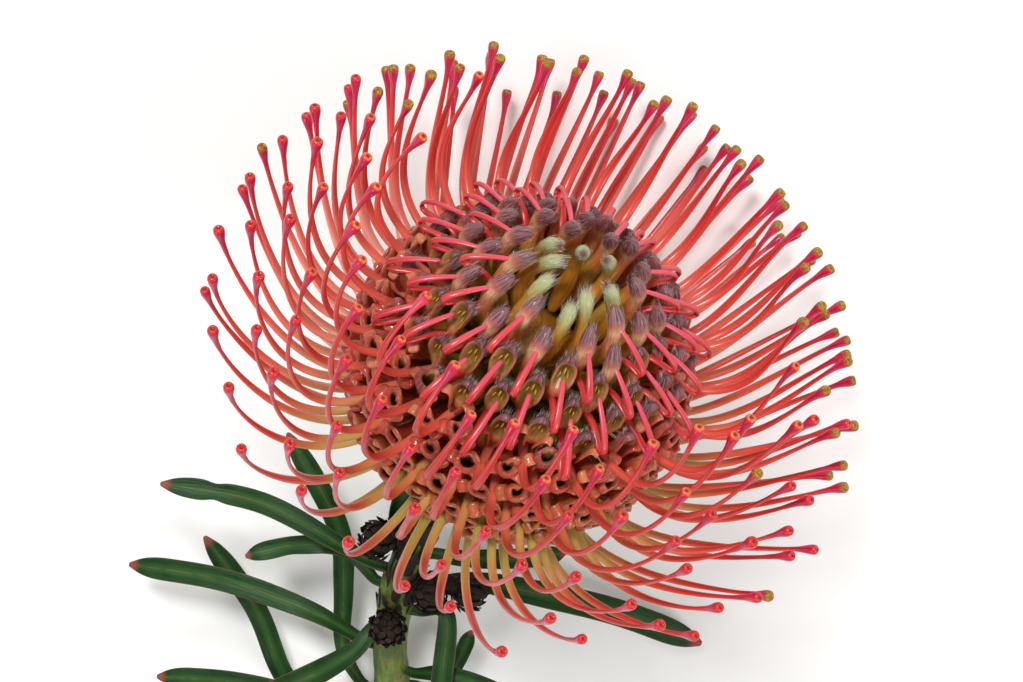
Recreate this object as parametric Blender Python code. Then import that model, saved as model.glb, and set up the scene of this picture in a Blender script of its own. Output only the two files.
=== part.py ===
"""A cut pincushion protea flower, lying on a level surface.

The flower head rests on the tips of its lowest styles and the cut stem rests on its end. Everything is
worked out from the middle of the flower head. The florets stand on a golden-angle spiral, and every 21st
floret belongs to one curving row: one strip of styles and one strip of perianths on the receptacle.
"""

import math

import bmesh
import bpy
from mathutils import Matrix, Vector

MM = 0.001

# The whole flower, lying down. The head faces -Y and looks up by HEAD_RISE.
HEAD_HEIGHT = 51.5 * MM
HEAD_RISE = math.radians(30.0)
HEAD_PLACE = Vector((0.85 * MM, -30.25 * MM, HEAD_HEIGHT))
GAP = 0.3 * MM

# Florets on the spiral, counted from the middle of the head outwards.
ROWS = 21
FLORETS_A_ROW = 10
FLORETS = ROWS * FLORETS_A_ROW
GOLDEN_ANGLE = math.pi * (3.0 - math.sqrt(5.0))
ROW_TURN = ROWS * GOLDEN_ANGLE - 16.0 * math.pi
COS_FIRST = math.cos(math.radians(21.0))
COS_LAST = math.cos(math.radians(124.0))
COS_STEP = (COS_FIRST - COS_LAST) / (FLORETS - 1)
CLOSED_FLORETS = 8
FIRST_FREE = 54

# Receptacle, perianths and styles, as distances from the middle of the head.
RECEPTACLE_R = 12.0 * MM
STRIP_R = 13.1 * MM
STRIP_SHARE = 0.20
RECEPTACLE_FIRST = math.radians(30.0)
RECEPTACLE_LAST = math.radians(122.0)
PERIANTH_WAIST_R = 26.5 * MM
PERIANTH_TOP_R = 29.5 * MM
PERIANTH_HALF = 1.35 * MM
PERIANTH_TOP_HALF = 1.0 * MM
STYLE_HALF = 0.55 * MM
TIP_HALF = 1.05 * MM
EXIT_R = 29.5 * MM
EXIT_DROP = math.radians(7.6)
EXIT_STEP = 0.75
HELD_TIP_R = PERIANTH_TOP_R + 1.6 * MM
FREE_OUT = 13.0 * MM
FREE_HOOK = 9.0 * MM
LEAST_HEIGHT = 1.0 * MM
TIP_SHIFT = Vector((-0.5, -3.5, 2.5)) * MM
HOOK_SIDE = math.radians(75.0)

# Stem: its middle line from the head's middle, and its radius at each of those points.
STEM_LINE = (
    ((0.0, 6.9, -4.0), 6.0),
    ((0.0, 12.1, -7.0), 8.2),
    ((0.0, 17.3, -10.0), 4.6),
    ((0.0, 25.1, -14.5), 3.0),
    ((0.0, 43.3, -25.0), 2.7),
    ((-2.5, 65.5, -36.5), 3.0),
    ((-6.4, 77.5, -41.0), 3.2),
    ((-10.7, 87.4, -44.6), 3.4),
    ((-14.7, 96.2, -47.3), 3.5),
    ((-17.6, 102.6, -48.1), 3.6),
)
STEM_SIDES = 12
STEM_STARTS = 2.0
DOME_DEGREES = (8.0, 25.0, 42.0, 60.0, 78.0, 96.0, 114.0, 131.0)

# Leaves: name, distance along the stem's points where it grows, width, and the points that it follows, in
# millimetres from the head's middle.
LEAVES = (
    ("leaf_left_upper", 4.72, 4.6,
     ((10.0, 60.0, -29.0), (28.0, 56.0, -19.0), (46.0, 62.0, -16.0))),
    ("leaf_left_long", 6.15, 5.2,
     ((10.0, 80.0, -38.0), (28.0, 84.0, -38.0), (46.0, 93.0, -40.0))),
    ("leaf_left_low", 8.45, 5.0,
     ((-4.0, 103.0, -44.5), (8.0, 99.0, -44.5), (20.0, 89.0, -44.5), (36.0, 81.0, -44.0))),
    ("leaf_left_wavy", 4.95, 4.2,
     ((10.0, 61.5, -32.0), (19.0, 65.0, -29.0), (26.0, 72.0, -28.0))),
    ("leaf_behind_left", 7.3, 4.8,
     ((0.8, 86.0, -43.0), (6.8, 74.0, -42.0), (14.0, 61.0, -38.0), (31.0, 46.0, -30.0))),
    ("leaf_lower_left", 5.55, 5.6,
     ((-1.0, 81.0, -33.0), (7.0, 95.0, -32.0), (14.0, 106.0, -35.0))),
    ("leaf_bottom_left", 7.9, 5.0,
     ((-3.0, 96.0, -38.5), (15.0, 102.0, -38.0), (30.0, 111.0, -39.0))),
    ("leaf_middle", 5.25, 4.8,
     ((-12.9, 65.0, -37.5), (-19.3, 78.0, -36.0), (-23.0, 87.0, -38.0))),
    ("leaf_right_long", 4.9, 6.0,
     ((-14.0, 57.0, -39.0), (-27.0, 53.0, -42.0), (-42.0, 49.0, -44.5), (-59.0, 47.0, -47.5))),
    ("leaf_right_small", 7.0, 3.6,
     ((-19.0, 84.0, -44.0), (-20.0, 76.0, -43.0), (-19.0, 67.0, -41.0))),
    ("leaf_right_upper", 4.5, 4.4,
     ((-9.0, 53.0, -36.0), (-19.0, 46.0, -35.0), (-26.0, 39.0, -33.0))),
    ("leaf_behind_head", 4.45, 4.2,
     ((4.5, 51.0, -31.0), (6.0, 44.0, -28.0), (7.0, 37.0, -26.0))),
    ("leaf_right_low", 6.6, 4.2,
     ((-19.0, 77.0, -38.5), (-27.0, 75.0, -39.0), (-37.0, 75.0, -41.0))),
)
LEAF_THICKNESS = 1.3 * MM
LEAF_CHANNEL = 0.5 * MM
LEAF_STATIONS = 8
LEAF_SEAT_GAP = 0.45 * MM
LEAF_FOOT = 1.6 * MM
LEAF_FACE = Vector((0.0, -0.35, 0.94))
LEAF_TIP_SHARE = 0.95

# Dried buds in the leaf axils: name, middle and half sizes in millimetres.
BUDS = (
    ("dried_bud_left_upper", (5.6, 53.6, -26.6), (3.8, 4.0, 3.6)),
    ("dried_bud_right_inner", (-7.8, 60.2, -31.2), (3.6, 3.8, 3.4)),
    ("dried_bud_right_outer", (-14.2, 56.5, -32.6), (3.5, 3.6, 3.3)),
    ("dried_bud_left_lower", (-4.5, 71.2, -31.8), (3.6, 3.6, 3.2)),
)

COLOURS = {
    "stem": ((0.30, 0.36, 0.10), 0.55),
    "perianth": ((0.62, 0.24, 0.12), 0.45),
    "style": ((0.80, 0.11, 0.08), 0.35),
    "leaf": ((0.03, 0.14, 0.04), 0.40),
    "bud": ((0.05, 0.03, 0.025), 0.85),
}


def finish(name: str) -> bpy.types.Material:
    """The material called name, made on its first use."""
    if name in bpy.data.materials:
        return bpy.data.materials[name]
    colour, roughness = COLOURS[name]
    material = bpy.data.materials.new(name)
    material.use_nodes = True
    shader = material.node_tree.nodes["Principled BSDF"]
    shader.inputs["Base Color"].default_value = (*colour, 1.0)
    shader.inputs["Roughness"].default_value = roughness
    shader.inputs["Metallic"].default_value = 0.0
    return material


def wobble(number: int, which: int) -> float:
    """A repeatable value between -1 and 1 for floret number, different for each which."""
    return math.sin(12.9898 * (number + 1) + 78.233 * which) * math.cos(4.137 * number + 1.7 * which)


def polar(radius: float, angle: float, turn: float) -> Vector:
    """A point at radius, angle from the head's axis and turned about it."""
    flat = radius * math.sin(angle)
    return Vector((flat * math.cos(turn), flat * math.sin(turn), radius * math.cos(angle)))


def height(point: Vector) -> float:
    """How high a point of the head, in the head's own frame, lies above the surface."""
    return HEAD_HEIGHT + point.y * math.cos(HEAD_RISE) + point.z * math.sin(HEAD_RISE)


def lifted(point: Vector, least: float) -> Vector:
    """The point, raised to the least height above the surface if it is lower."""
    up = Vector((0.0, math.cos(HEAD_RISE), math.sin(HEAD_RISE)))
    return point + up * max(0.0, least - height(point))


def row_angles(row: int, step: float) -> tuple:
    """Angle from the axis and turn of a row at a step along it, which need not be whole."""
    cosine = COS_FIRST - COS_STEP * (row + ROWS * step)
    return math.acos(min(cosine, 1.0)), row * GOLDEN_ANGLE + step * ROW_TURN


def strip_point(row: int, step: float, radius: float, side: float) -> Vector:
    """A point on a row's strip. side is 0 for perianths and 1 for styles, half a row further round."""
    angle, turn = row_angles(row, step)
    first, last = math.acos(COS_FIRST), math.acos(COS_LAST)
    share = (angle - first) / (last - first)
    angle = RECEPTACLE_FIRST + share * (RECEPTACLE_LAST - RECEPTACLE_FIRST)
    return polar(radius, angle, turn - side * math.pi / ROWS)


def section(face, centre: Vector, normal: Vector, along: Vector, half: float) -> None:
    """Moves a four-cornered face to a square across normal, its corners matched so that nothing twists."""
    along = (along - normal * along.dot(normal)).normalized()
    across = normal.cross(along)
    signs = ((1, 1), (-1, 1), (-1, -1), (1, -1))
    corners = [centre + along * (u * half) + across * (v * half) for u, v in signs]
    verts = [loop.vert for loop in face.loops]
    turns = [sum((v.co - corners[(j + k) % 4]).length for j, v in enumerate(verts)) for k in range(4)]
    best = turns.index(min(turns))
    for j, vert in enumerate(verts):
        vert.co = corners[(j + best) % 4]


def grow(bm, face, stations: list) -> None:
    """Extrudes a face through stations, each a point and a half width, square across its way."""
    path = [face.calc_center_median()] + [point for point, _ in stations]
    for number, (point, half) in enumerate(stations, start=1):
        ahead = path[min(number + 1, len(path) - 1)]
        way = (ahead - path[number - 1]).normalized()
        straight_out = abs(way.dot(point.normalized())) > 0.999
        face = bmesh.ops.extrude_discrete_faces(bm, faces=[face])["faces"][0]
        section(face, point, way, point.orthogonal() if straight_out else -point, half)


def extrude_rings(bm, sections: list) -> list:
    """A closed solid through rings of points, all of one count. Returns the vertices of each ring."""
    rings = [[bm.verts.new(point) for point in sections[0]]]
    front = bm.faces.new(rings[0])
    for points in sections[1:]:
        front = bmesh.ops.extrude_discrete_faces(bm, faces=[front])["faces"][0]
        rings.append([loop.vert for loop in front.loops])
        for vert, point in zip(rings[-1], points):
            vert.co = point
    bm.faces.new(reversed(rings[0]))
    return rings


def build_strip(bm, row: int, side: float, steps: list) -> list:
    """A thin strip along a row, one piece for each floret. Returns the outer face of each piece."""
    ends = [steps[0] - 0.25] + [step + 0.5 for step in steps[:-1]] + [steps[-1] + 0.25]
    sections = []
    for step in ends:
        middle = strip_point(row, step, STRIP_R, side)
        way = strip_point(row, step + 0.1, STRIP_R, side) - strip_point(row, step - 0.1, STRIP_R, side)
        across = way.cross(middle).normalized()
        angle = math.acos(middle.z / STRIP_R)
        half = STRIP_SHARE * STRIP_R * math.sin(angle) * math.pi / ROWS
        low = middle.normalized() * (RECEPTACLE_R + GAP)
        edge = across * half
        sections.append([middle + edge, middle - edge, low - edge, low + edge])
    rings = extrude_rings(bm, sections)
    bmesh.ops.recalc_face_normals(bm, faces=bm.faces)
    return [bm.faces.get([a[0], a[1], b[1], b[0]]) for a, b in zip(rings, rings[1:])]


def bezier(points: list, share: float) -> Vector:
    """A point at share of the way along the cubic Bezier curve of four points."""
    a, b, c, d = points
    rest = 1.0 - share
    return a * rest**3 + b * (3 * rest * rest * share) + c * (3 * rest * share * share) + d * share**3


def style_curve(number: int) -> list:
    """The four Bezier points of a free style, or of a style's bow while the perianth still holds its tip."""
    angle, turn = row_angles(number % ROWS, number // ROWS)
    start_angle, start_turn = angle + EXIT_DROP, turn
    start = polar(EXIT_R, start_angle, start_turn)
    if number < FIRST_FREE:
        age = (number - CLOSED_FLORETS) / (FIRST_FREE - CLOSED_FLORETS)
        bow = (3.0 + 9.0 * age) * MM
        return [
            start,
            polar(EXIT_R + bow, start_angle + math.radians(6.0), start_turn),
            polar(PERIANTH_TOP_R + bow, angle + math.radians(4.0), turn),
            polar(HELD_TIP_R, angle + math.radians(0.5), turn),
        ]
    age = (number - FIRST_FREE) / (FLORETS - 1 - FIRST_FREE)
    tip_angle = math.radians(46.0 + 46.0 * age**0.9 + 2.5 * wobble(number, 1))
    tip_r = (48.0 + 10.0 * min(1.0, 1.25 * age) + 1.5 * wobble(number, 2)) * MM
    tip_turn = start_turn + math.radians(2.5 * wobble(number, 3))
    hook = math.radians(50.0 + 26.0 * math.cos(tip_turn - HOOK_SIDE))
    out_angle = start_angle + math.radians(5.0) - 0.5 * max(0.0, start_angle - math.pi / 2)
    tip = polar(tip_r, tip_angle, tip_turn) + TIP_SHIFT
    curve = [
        start,
        start + polar(FREE_OUT, out_angle, start_turn),
        tip - polar(FREE_HOOK, tip_angle - hook, tip_turn),
        tip,
    ]
    return [start] + [lifted(point, LEAST_HEIGHT) for point in curve[1:]]


def add(name: str, bm, material: str, parent) -> bpy.types.Object:
    """Makes the object called name from bm, with nothing below the surface, under parent."""
    floor = parent.matrix_world.inverted()
    for vert in bm.verts:
        place = parent.matrix_world @ vert.co
        if place.z < 0.0:
            place.z = 0.0
            vert.co = floor @ place
    bmesh.ops.recalc_face_normals(bm, faces=bm.faces)
    mesh = bpy.data.meshes.new(name)
    bm.to_mesh(mesh)
    bm.free()
    mesh.materials.append(finish(material))
    thing = bpy.data.objects.new(name, mesh)
    bpy.context.scene.collection.objects.link(thing)
    thing.parent = parent
    return thing


def build_perianth_row(row: int, head) -> None:
    """One row of perianths, from the receptacle to the outside of the ball."""
    bm = bmesh.new()
    steps = list(range(FLORETS_A_ROW))
    for step, pad in zip(steps, build_strip(bm, row, 0.0, steps)):
        angle, turn = row_angles(row, step)
        grow(bm, pad, [
            (polar(PERIANTH_WAIST_R, angle, turn), PERIANTH_HALF),
            (polar(PERIANTH_TOP_R, angle, turn), PERIANTH_TOP_HALF),
        ])
    add(f"perianth_row_{row + 1:02d}", bm, "perianth", head)


def build_style_row(row: int, head) -> None:
    """One row of styles. The innermost florets are still shut and show none."""
    bm = bmesh.new()
    steps = [step for step in range(FLORETS_A_ROW) if row + ROWS * step >= CLOSED_FLORETS]
    pads = build_strip(bm, row, 1.0, [step + EXIT_STEP for step in steps])
    for step, pad in zip(steps, pads):
        number = row + ROWS * step
        curve = style_curve(number)
        shares = (0.45, 1.0) if number < FIRST_FREE else (0.4, 0.72, 0.9, 1.0)
        stations = [(curve[0], STYLE_HALF)]
        stations += [(bezier(curve, share), STYLE_HALF) for share in shares]
        if number >= FIRST_FREE:
            stations[-1] = (curve[3], TIP_HALF)
        grow(bm, pad, stations)
    add(f"style_row_{row + 1:02d}", bm, "style", head)


def spline(points: list, where: float) -> Vector:
    """A point on the smooth curve through points, where counts them from 0."""
    last = len(points) - 1
    number = min(int(where), last - 1)
    a, b, c, d = (points[max(0, min(last, number + j))] for j in (-1, 0, 1, 2))
    t = where - number
    square = (2 * a - 5 * b + 4 * c - d) * t * t
    cube = (3 * b - a - 3 * c + d) * t**3
    return 0.5 * (2 * b + (c - a) * t + square + cube)


def stem_point(where: float) -> Vector:
    """A point on the stem's middle line."""
    return spline([Vector(point) * MM for point, _ in STEM_LINE], where)


def stem_radius(where: float) -> float:
    """The stem's radius there."""
    return spline([Vector((radius, 0.0, 0.0)) * MM for _, radius in STEM_LINE], where).x


def stem_way(where: float) -> Vector:
    """The stem's direction there, away from the head."""
    return (stem_point(min(where + 0.05, len(STEM_LINE) - 1)) - stem_point(where - 0.05)).normalized()


def sweep(sections: list):
    """A mesh of its own for one such solid."""
    bm = bmesh.new()
    extrude_rings(bm, sections)
    return bm


def build_stem(whole) -> None:
    """The stem and the receptacle at its top, which grew as one piece."""
    axis = Vector((0.0, -math.cos(HEAD_RISE), math.sin(HEAD_RISE)))
    side = Vector((1.0, 0.0, 0.0))
    dome = [math.radians(degrees) for degrees in DOME_DEGREES]
    stations = [(axis * (RECEPTACLE_R * math.cos(a)), axis, RECEPTACLE_R * math.sin(a)) for a in dome]
    count = 2 * (len(STEM_LINE) - 3) + 1
    places = [STEM_STARTS + 0.5 * k for k in range(count)]
    stations += [(stem_point(where), -stem_way(where), stem_radius(where)) for where in places]
    rings = []
    for middle, way, radius in stations:
        across = way.cross(side).normalized()
        other = across.cross(way)
        angles = [2 * math.pi * k / STEM_SIDES for k in range(STEM_SIDES)]
        rings.append([middle + (other * math.cos(a) + across * math.sin(a)) * radius for a in angles])
    add("stem_and_receptacle", sweep(rings), "stem", whole)


def leaf_curve(where: float, points: tuple) -> tuple:
    """The points of a leaf's middle line, from its seat on the stem, and the stem's direction there."""
    aim = Vector(points[0]) * MM - stem_point(where)
    way = stem_way(where)
    out = (aim - way * aim.dot(way)).normalized()
    seat = stem_point(where) + out * (stem_radius(where) + LEAF_SEAT_GAP)
    return [seat, seat + out * LEAF_FOOT] + [Vector(point) * MM for point in points], way


def build_leaf(name: str, where: float, width: float, points: tuple, whole) -> None:
    """A narrow leaf with a shallow channel along its upper side."""
    line, way = leaf_curve(where, points)
    rings = []
    for k in range(LEAF_STATIONS):
        share = k / (LEAF_STATIONS - 1)
        at = share * (len(line) - 1)
        middle = spline(line, at)
        ahead = spline(line, min(at + 0.1, len(line) - 1))
        behind = spline(line, max(at - 0.1, 0.0))
        along = (ahead - behind).normalized()
        face = (-way).lerp(LEAF_FACE, min(1.0, 2.5 * share))
        across = along.cross(face).normalized()
        up = across.cross(along).normalized()
        swell = 0.55 + 0.45 * math.sin(math.pi * min(1.0, share * 1.1 + 0.12))
        at_tip = share > LEAF_TIP_SHARE
        half = 0.5 * width * MM * (0.3 if at_tip else swell)
        thick = 0.5 * LEAF_THICKNESS * (0.6 if at_tip else 1.0)
        dip = 0.0 if at_tip or k == 0 else LEAF_CHANNEL
        rings.append([
            middle + across * half + up * thick * 0.5,
            middle + up * (thick * 0.5 - dip),
            middle - across * half + up * thick * 0.5,
            middle - across * half - up * thick * 0.5,
            middle - up * thick,
            middle + across * half - up * thick * 0.5,
        ])
    add(name, sweep(rings), "leaf", whole)


def build_bud(name: str, middle: tuple, halves: tuple, whole) -> None:
    """A dried bud in the axil of a leaf."""
    bm = bmesh.new()
    place = Matrix.Translation(Vector(middle) * MM) @ Matrix.Diagonal((*(Vector(halves) * MM), 1.0))
    bmesh.ops.create_icosphere(bm, subdivisions=2, radius=1.0, matrix=place)
    add(name, bm, "bud", whole)


def main() -> None:
    """Clears the scene and builds the flower."""
    for thing in list(bpy.data.objects):
        bpy.data.objects.remove(thing, do_unlink=True)
    whole = bpy.data.objects.new("flower", None)
    head = bpy.data.objects.new("flower_head", None)
    for empty in (whole, head):
        bpy.context.scene.collection.objects.link(empty)
    whole.location = HEAD_PLACE
    head.parent = whole
    head.rotation_euler = (math.pi / 2 - HEAD_RISE, 0.0, 0.0)
    bpy.context.view_layer.update()
    build_stem(whole)
    for row in range(ROWS):
        build_perianth_row(row, head)
        build_style_row(row, head)
    for name, where, width, points in LEAVES:
        build_leaf(name, where, width, points, whole)
    for name, middle, halves in BUDS:
        build_bud(name, middle, halves, whole)


main()
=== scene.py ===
"""Looks of a cut pincushion protea flower that lies on a pale floor.

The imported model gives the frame: the stem, the rows of perianths and styles, the leaves and the dried buds.
Each of them gets a finely shaped piece here, grown along the same lines as the solid that it stands for.
"""

import logging
import math
import random
from bisect import bisect_right
from collections.abc import Callable
from dataclasses import dataclass, field
from enum import Enum

import bmesh
import bpy
from mathutils import Matrix, noise, Vector

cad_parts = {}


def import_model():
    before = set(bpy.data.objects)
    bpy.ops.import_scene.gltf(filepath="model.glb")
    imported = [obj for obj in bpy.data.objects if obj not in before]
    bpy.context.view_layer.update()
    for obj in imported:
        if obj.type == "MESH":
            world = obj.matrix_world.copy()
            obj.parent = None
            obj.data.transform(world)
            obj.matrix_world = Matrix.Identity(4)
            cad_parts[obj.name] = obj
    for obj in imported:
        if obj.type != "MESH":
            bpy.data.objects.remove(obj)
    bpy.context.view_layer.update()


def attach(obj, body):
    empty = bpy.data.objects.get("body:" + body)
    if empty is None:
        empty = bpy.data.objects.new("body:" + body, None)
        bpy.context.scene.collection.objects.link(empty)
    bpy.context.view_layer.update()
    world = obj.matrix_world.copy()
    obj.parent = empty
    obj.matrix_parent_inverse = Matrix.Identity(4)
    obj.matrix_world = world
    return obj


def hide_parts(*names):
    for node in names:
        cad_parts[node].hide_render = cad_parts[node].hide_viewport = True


LOG = logging.getLogger("protea")
MM = 0.001
GOLDEN_ANGLE = math.pi * (3.0 - math.sqrt(5.0))
HEAD_MIDDLE = Vector((0.85, -30.25, 51.5)) * MM
HEAD_RISE = math.radians(30.0)
STEM_FRAME = Matrix.Translation(HEAD_MIDDLE)
# Painted shade: styles and tepals on the side of the head in this direction are painted greener and darker.
PAINTED_SHADE_SIDE = (-0.515, 0.805, 0.293)
# Painted light: styles on the side of the head in this direction are painted paler.
PAINTED_LIGHT_SIDE = (0.515, -0.805, -0.293)
FLOOR_GAP = 0.02 * MM
HAIR_SEED = 5
LUMP_SEED = 7

Colour = tuple[float, float, float, float]
Triple = tuple[float, float, float]
Mark = Callable[[float, float], float]


class Slot(Enum):
    """The record's material slots."""

    STEM = "stem"
    PERIANTH = "perianth"
    STYLE = "style"
    LEAF = "leaf"
    BUD = "dried_bud"


class Stage(Enum):
    """How far a floret has opened."""

    SHUT = "shut"
    BOWED = "bowed"
    FREE = "free"


def paint(code: str) -> Colour:
    """A shader's colour from a display colour.

    Args:
        code: red, green and blue as six hexadecimal digits.

    Returns:
        The same colour in linear light, with full alpha.
    """
    parts = [int(code[k : k + 2], 16) / 255.0 for k in (0, 2, 4)]
    linear = [part / 12.92 if part <= 0.04045 else ((part + 0.055) / 1.055) ** 2.4 for part in parts]
    return (linear[0], linear[1], linear[2], 1.0)


def smooth(low: float, high: float, value: float) -> float:
    """A smooth step.

    Args:
        low: where it starts to leave 0.
        high: where it reaches 1.
        value: the place to read.

    Returns:
        The height of the step there.
    """
    share = min(1.0, max(0.0, (value - low) / (high - low)))
    return share * share * (3.0 - 2.0 * share)


def table(stops: tuple[tuple[float, float], ...], where: float) -> float:
    """A value read from a short table with straight lines between its stops.

    Args:
        stops: pairs of place and value, in order.
        where: the place to read.

    Returns:
        The value there.
    """
    for (low, first), (high, second) in zip(stops, stops[1:]):
        if where <= high:
            share = max(0.0, (where - low) / (high - low))
            return first + (second - first) * share
    return stops[-1][1]


def polar(radius: float, angle: float, turn: float) -> Vector:
    """A point of the head's own frame.

    Args:
        radius: distance from the head's middle.
        angle: angle from the head's axis.
        turn: angle about that axis.

    Returns:
        The point.
    """
    flat = radius * math.sin(angle)
    return Vector((flat * math.cos(turn), flat * math.sin(turn), radius * math.cos(angle)))


def spline(points: list[Vector], where: float) -> Vector:
    """A point on the smooth curve through points.

    Args:
        points: what the curve goes through.
        where: the place on it, counting the points from 0.

    Returns:
        The point.
    """
    last = len(points) - 1
    number = max(0, min(int(where), last - 1))
    a, b, c, d = (points[max(0, min(last, number + j))] for j in (-1, 0, 1, 2))
    t = where - number
    square = (2 * a - 5 * b + 4 * c - d) * t * t
    cube = (3 * b - a - 3 * c + d) * t**3
    return 0.5 * (2 * b + (c - a) * t + square + cube)


def bezier(points: list[Vector], share: float) -> Vector:
    """A point on a cubic Bezier curve.

    Args:
        points: its four points.
        share: how far along it, from 0 to 1.

    Returns:
        The point.
    """
    a, b, c, d = points
    rest = 1.0 - share
    return a * rest**3 + b * (3 * rest * rest * share) + c * (3 * rest * share * share) + d * share**3


def wobble(number: int, which: int) -> float:
    """A repeatable value between -1 and 1 for floret number, different for each which."""
    return math.sin(12.9898 * (number + 1) + 78.233 * which) * math.cos(4.137 * number + 1.7 * which)


def facing(middle: Vector, way: Vector, side: Vector, twist: float = 0.0) -> Matrix:
    """The frame of a cross-section.

    Args:
        middle: its middle.
        way: the direction in which the solid grows there.
        side: roughly where the section's first axis points.
        twist: how far the section is turned about way.

    Returns:
        A matrix whose columns are the section's two axes, its way and its middle.
    """
    way = way.normalized()
    across = (side - way * side.dot(way)).normalized()
    up = way.cross(across)
    first = across * math.cos(twist) + up * math.sin(twist)
    second = up * math.cos(twist) - across * math.sin(twist)
    frame = Matrix((first, second, way)).transposed().to_4x4()
    frame.translation = middle
    return frame


def heading(points: list[Vector], where: float, reach: float = 0.05, held: bool = False) -> Vector:
    """The direction of the smooth curve through points.

    Args:
        points: what the curve goes through.
        where: the place on it, counting the points from 0.
        reach: how far before and after that place the curve is read.
        held: whether it isn't read past its ends.

    Returns:
        The direction, of any length.
    """
    low, high = where - reach, where + reach
    if held:
        low, high = max(low, 0.0), min(high, len(points) - 1)
    return spline(points, high) - spline(points, low)


def axes(frame: Matrix) -> tuple[Vector, Vector, Vector]:
    """The three axes of a frame: side, toward the apex or the upper face, and the way it grows."""
    return frame.col[0].to_3d(), frame.col[1].to_3d(), frame.col[2].to_3d()


def at_edges(across: float, _over: float) -> float:
    """A mark that is 1 at a section's two edges and 0 in its middle."""
    return abs(across)


class Line:
    """A smooth way through space, read by the distance from its start."""

    NEAR = 0.5 * MM

    def __init__(self, points: list[Vector]) -> None:
        """Measures the way.

        Args:
            points: points on it, close together.
        """
        self.points = points
        self.marks = [0.0]
        for a, b in zip(points, points[1:]):
            self.marks.append(self.marks[-1] + (b - a).length)
        self.length = self.marks[-1]

    def at(self, distance: float) -> Vector:
        """The point at that distance. The way runs on straight past its ends."""
        number = min(max(bisect_right(self.marks, distance) - 1, 0), len(self.points) - 2)
        a, b = self.points[number], self.points[number + 1]
        share = (distance - self.marks[number]) / (self.marks[number + 1] - self.marks[number])
        return a + (b - a) * share

    def way(self, distance: float) -> Vector:
        """The direction at that distance."""
        return (self.at(distance + self.NEAR) - self.at(distance - self.NEAR)).normalized()


class Growth:
    """A mesh under construction, with the marks on its vertices that the finishes read.

    along runs from a solid's foot to its tip, and tone tells one solid from the next. mark is what the finish
    makes of it. flow follows the surface: around the solid in x and y, and along it in z.
    """

    def __init__(self) -> None:
        """Starts an empty mesh."""
        self.bm = bmesh.new()
        self.along = self.bm.verts.layers.float.new("along")
        self.tone = self.bm.verts.layers.float.new("tone")
        self.mark = self.bm.verts.layers.float.new("mark")
        self.flow = self.bm.verts.layers.float_vector.new("flow")

    def label(
        self, verts: list, along: float, tone: float, mark: float, flow: Triple = (0.0, 0.0, 0.0)
    ) -> None:
        """Marks some vertices alike.

        Args:
            verts: the vertices.
            along: their along mark.
            tone: their tone mark.
            mark: their mark.
            flow: their flow mark.
        """
        for vert in verts:
            vert[self.along] = along
            vert[self.tone] = tone
            vert[self.mark] = mark
            vert[self.flow] = flow


class Stalk:
    """A closed solid that is grown ring by ring: a capped circle, extruded and reshaped."""

    def __init__(self, growth: Growth, sides: int, tone: float = 0.0) -> None:
        """Notes what the stalk is made of.

        Args:
            growth: the mesh that it grows in.
            sides: how many sides it has.
            tone: its tone mark.
        """
        self.growth = growth
        self.sides = sides
        self.tone = tone
        self.paint_slot = 0
        self.face = None
        self.first: list = []
        self.unit: list[tuple[float, float]] = []
        self.walked = 0.0
        self.last_middle: Vector | None = None

    def ring(
        self,
        frame: Matrix,
        halves: tuple[float, float],
        along: float,
        mark: float | Mark = 0.0,
        dip: float = 0.0,
    ) -> None:
        """Adds one ring.

        Args:
            frame: the frame of the cross-section.
            halves: its half width and half thickness.
            along: the along mark of its vertices.
            mark: their mark, or what works it out from the place on the unit circle.
            dip: how far the section's two sides are bent along its second axis, which makes a channel.
        """
        bm = self.growth.bm
        if self.face is None:
            made = bmesh.ops.create_circle(bm, cap_ends=True, segments=self.sides, radius=1.0)
            self.face = made["verts"][0].link_faces[0]
            self.first = [loop.vert for loop in self.face.loops]
            self.unit = [(vert.co.x, vert.co.y) for vert in self.first]
        else:
            self.face = bmesh.ops.extrude_discrete_faces(bm, faces=[self.face])["faces"][0]
            self.walked += (frame.translation - self.last_middle).length
        self.last_middle = frame.translation.copy()
        self.face.material_index = self.paint_slot
        for loop, (u, v) in zip(self.face.loops, self.unit):
            vert = loop.vert
            vert.co = frame @ Vector((u * halves[0], v * halves[1] + dip * u * u, 0.0))
            value = mark(u, v) if callable(mark) else mark
            self.growth.label([vert], along, self.tone, value, (u, v, self.walked / MM))

    def corners(self) -> list[tuple[object, float, float]]:
        """The last ring's vertices, each with its place on the unit circle."""
        return [(loop.vert, u, v) for loop, (u, v) in zip(self.face.loops, self.unit)]

    def close(self) -> None:
        """Caps the first ring."""
        self.growth.bm.faces.new(list(reversed(self.first)))


def finish_piece(
    name: str,
    growth: Growth,
    frame: Matrix,
    materials: list[bpy.types.Material],
    stands_for: tuple[str, ...] = (),
    rounds: int = 1,
) -> bpy.types.Object:
    """Turns a grown mesh into a piece of the flower.

    Args:
        name: the piece's name.
        growth: the mesh.
        frame: where the mesh's own frame lies in the row frame.
        materials: its materials, in the order of the faces' slots.
        stands_for: the frame's nodes that it replaces.
        rounds: how often its faces are subdivided.

    Returns:
        The piece.
    """
    bm = growth.bm
    bmesh.ops.transform(bm, matrix=frame, verts=bm.verts)
    for vert in bm.verts:
        vert.co.z = max(vert.co.z, FLOOR_GAP)
    bmesh.ops.recalc_face_normals(bm, faces=bm.faces)
    mesh = bpy.data.meshes.new(name)
    bm.to_mesh(mesh)
    bm.free()
    mesh.shade_smooth()
    for material in materials:
        mesh.materials.append(material)
    piece = bpy.data.objects.new(name, mesh)
    bpy.context.scene.collection.objects.link(piece)
    if rounds:
        rounding = piece.modifiers.new("rounding", "SUBSURF")
        rounding.levels = rounds
        rounding.render_levels = rounds
    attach(piece, "root")
    if stands_for:
        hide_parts(*stands_for)
    LOG.info("%s: %d faces before rounding", name, len(mesh.polygons))
    return piece


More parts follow.
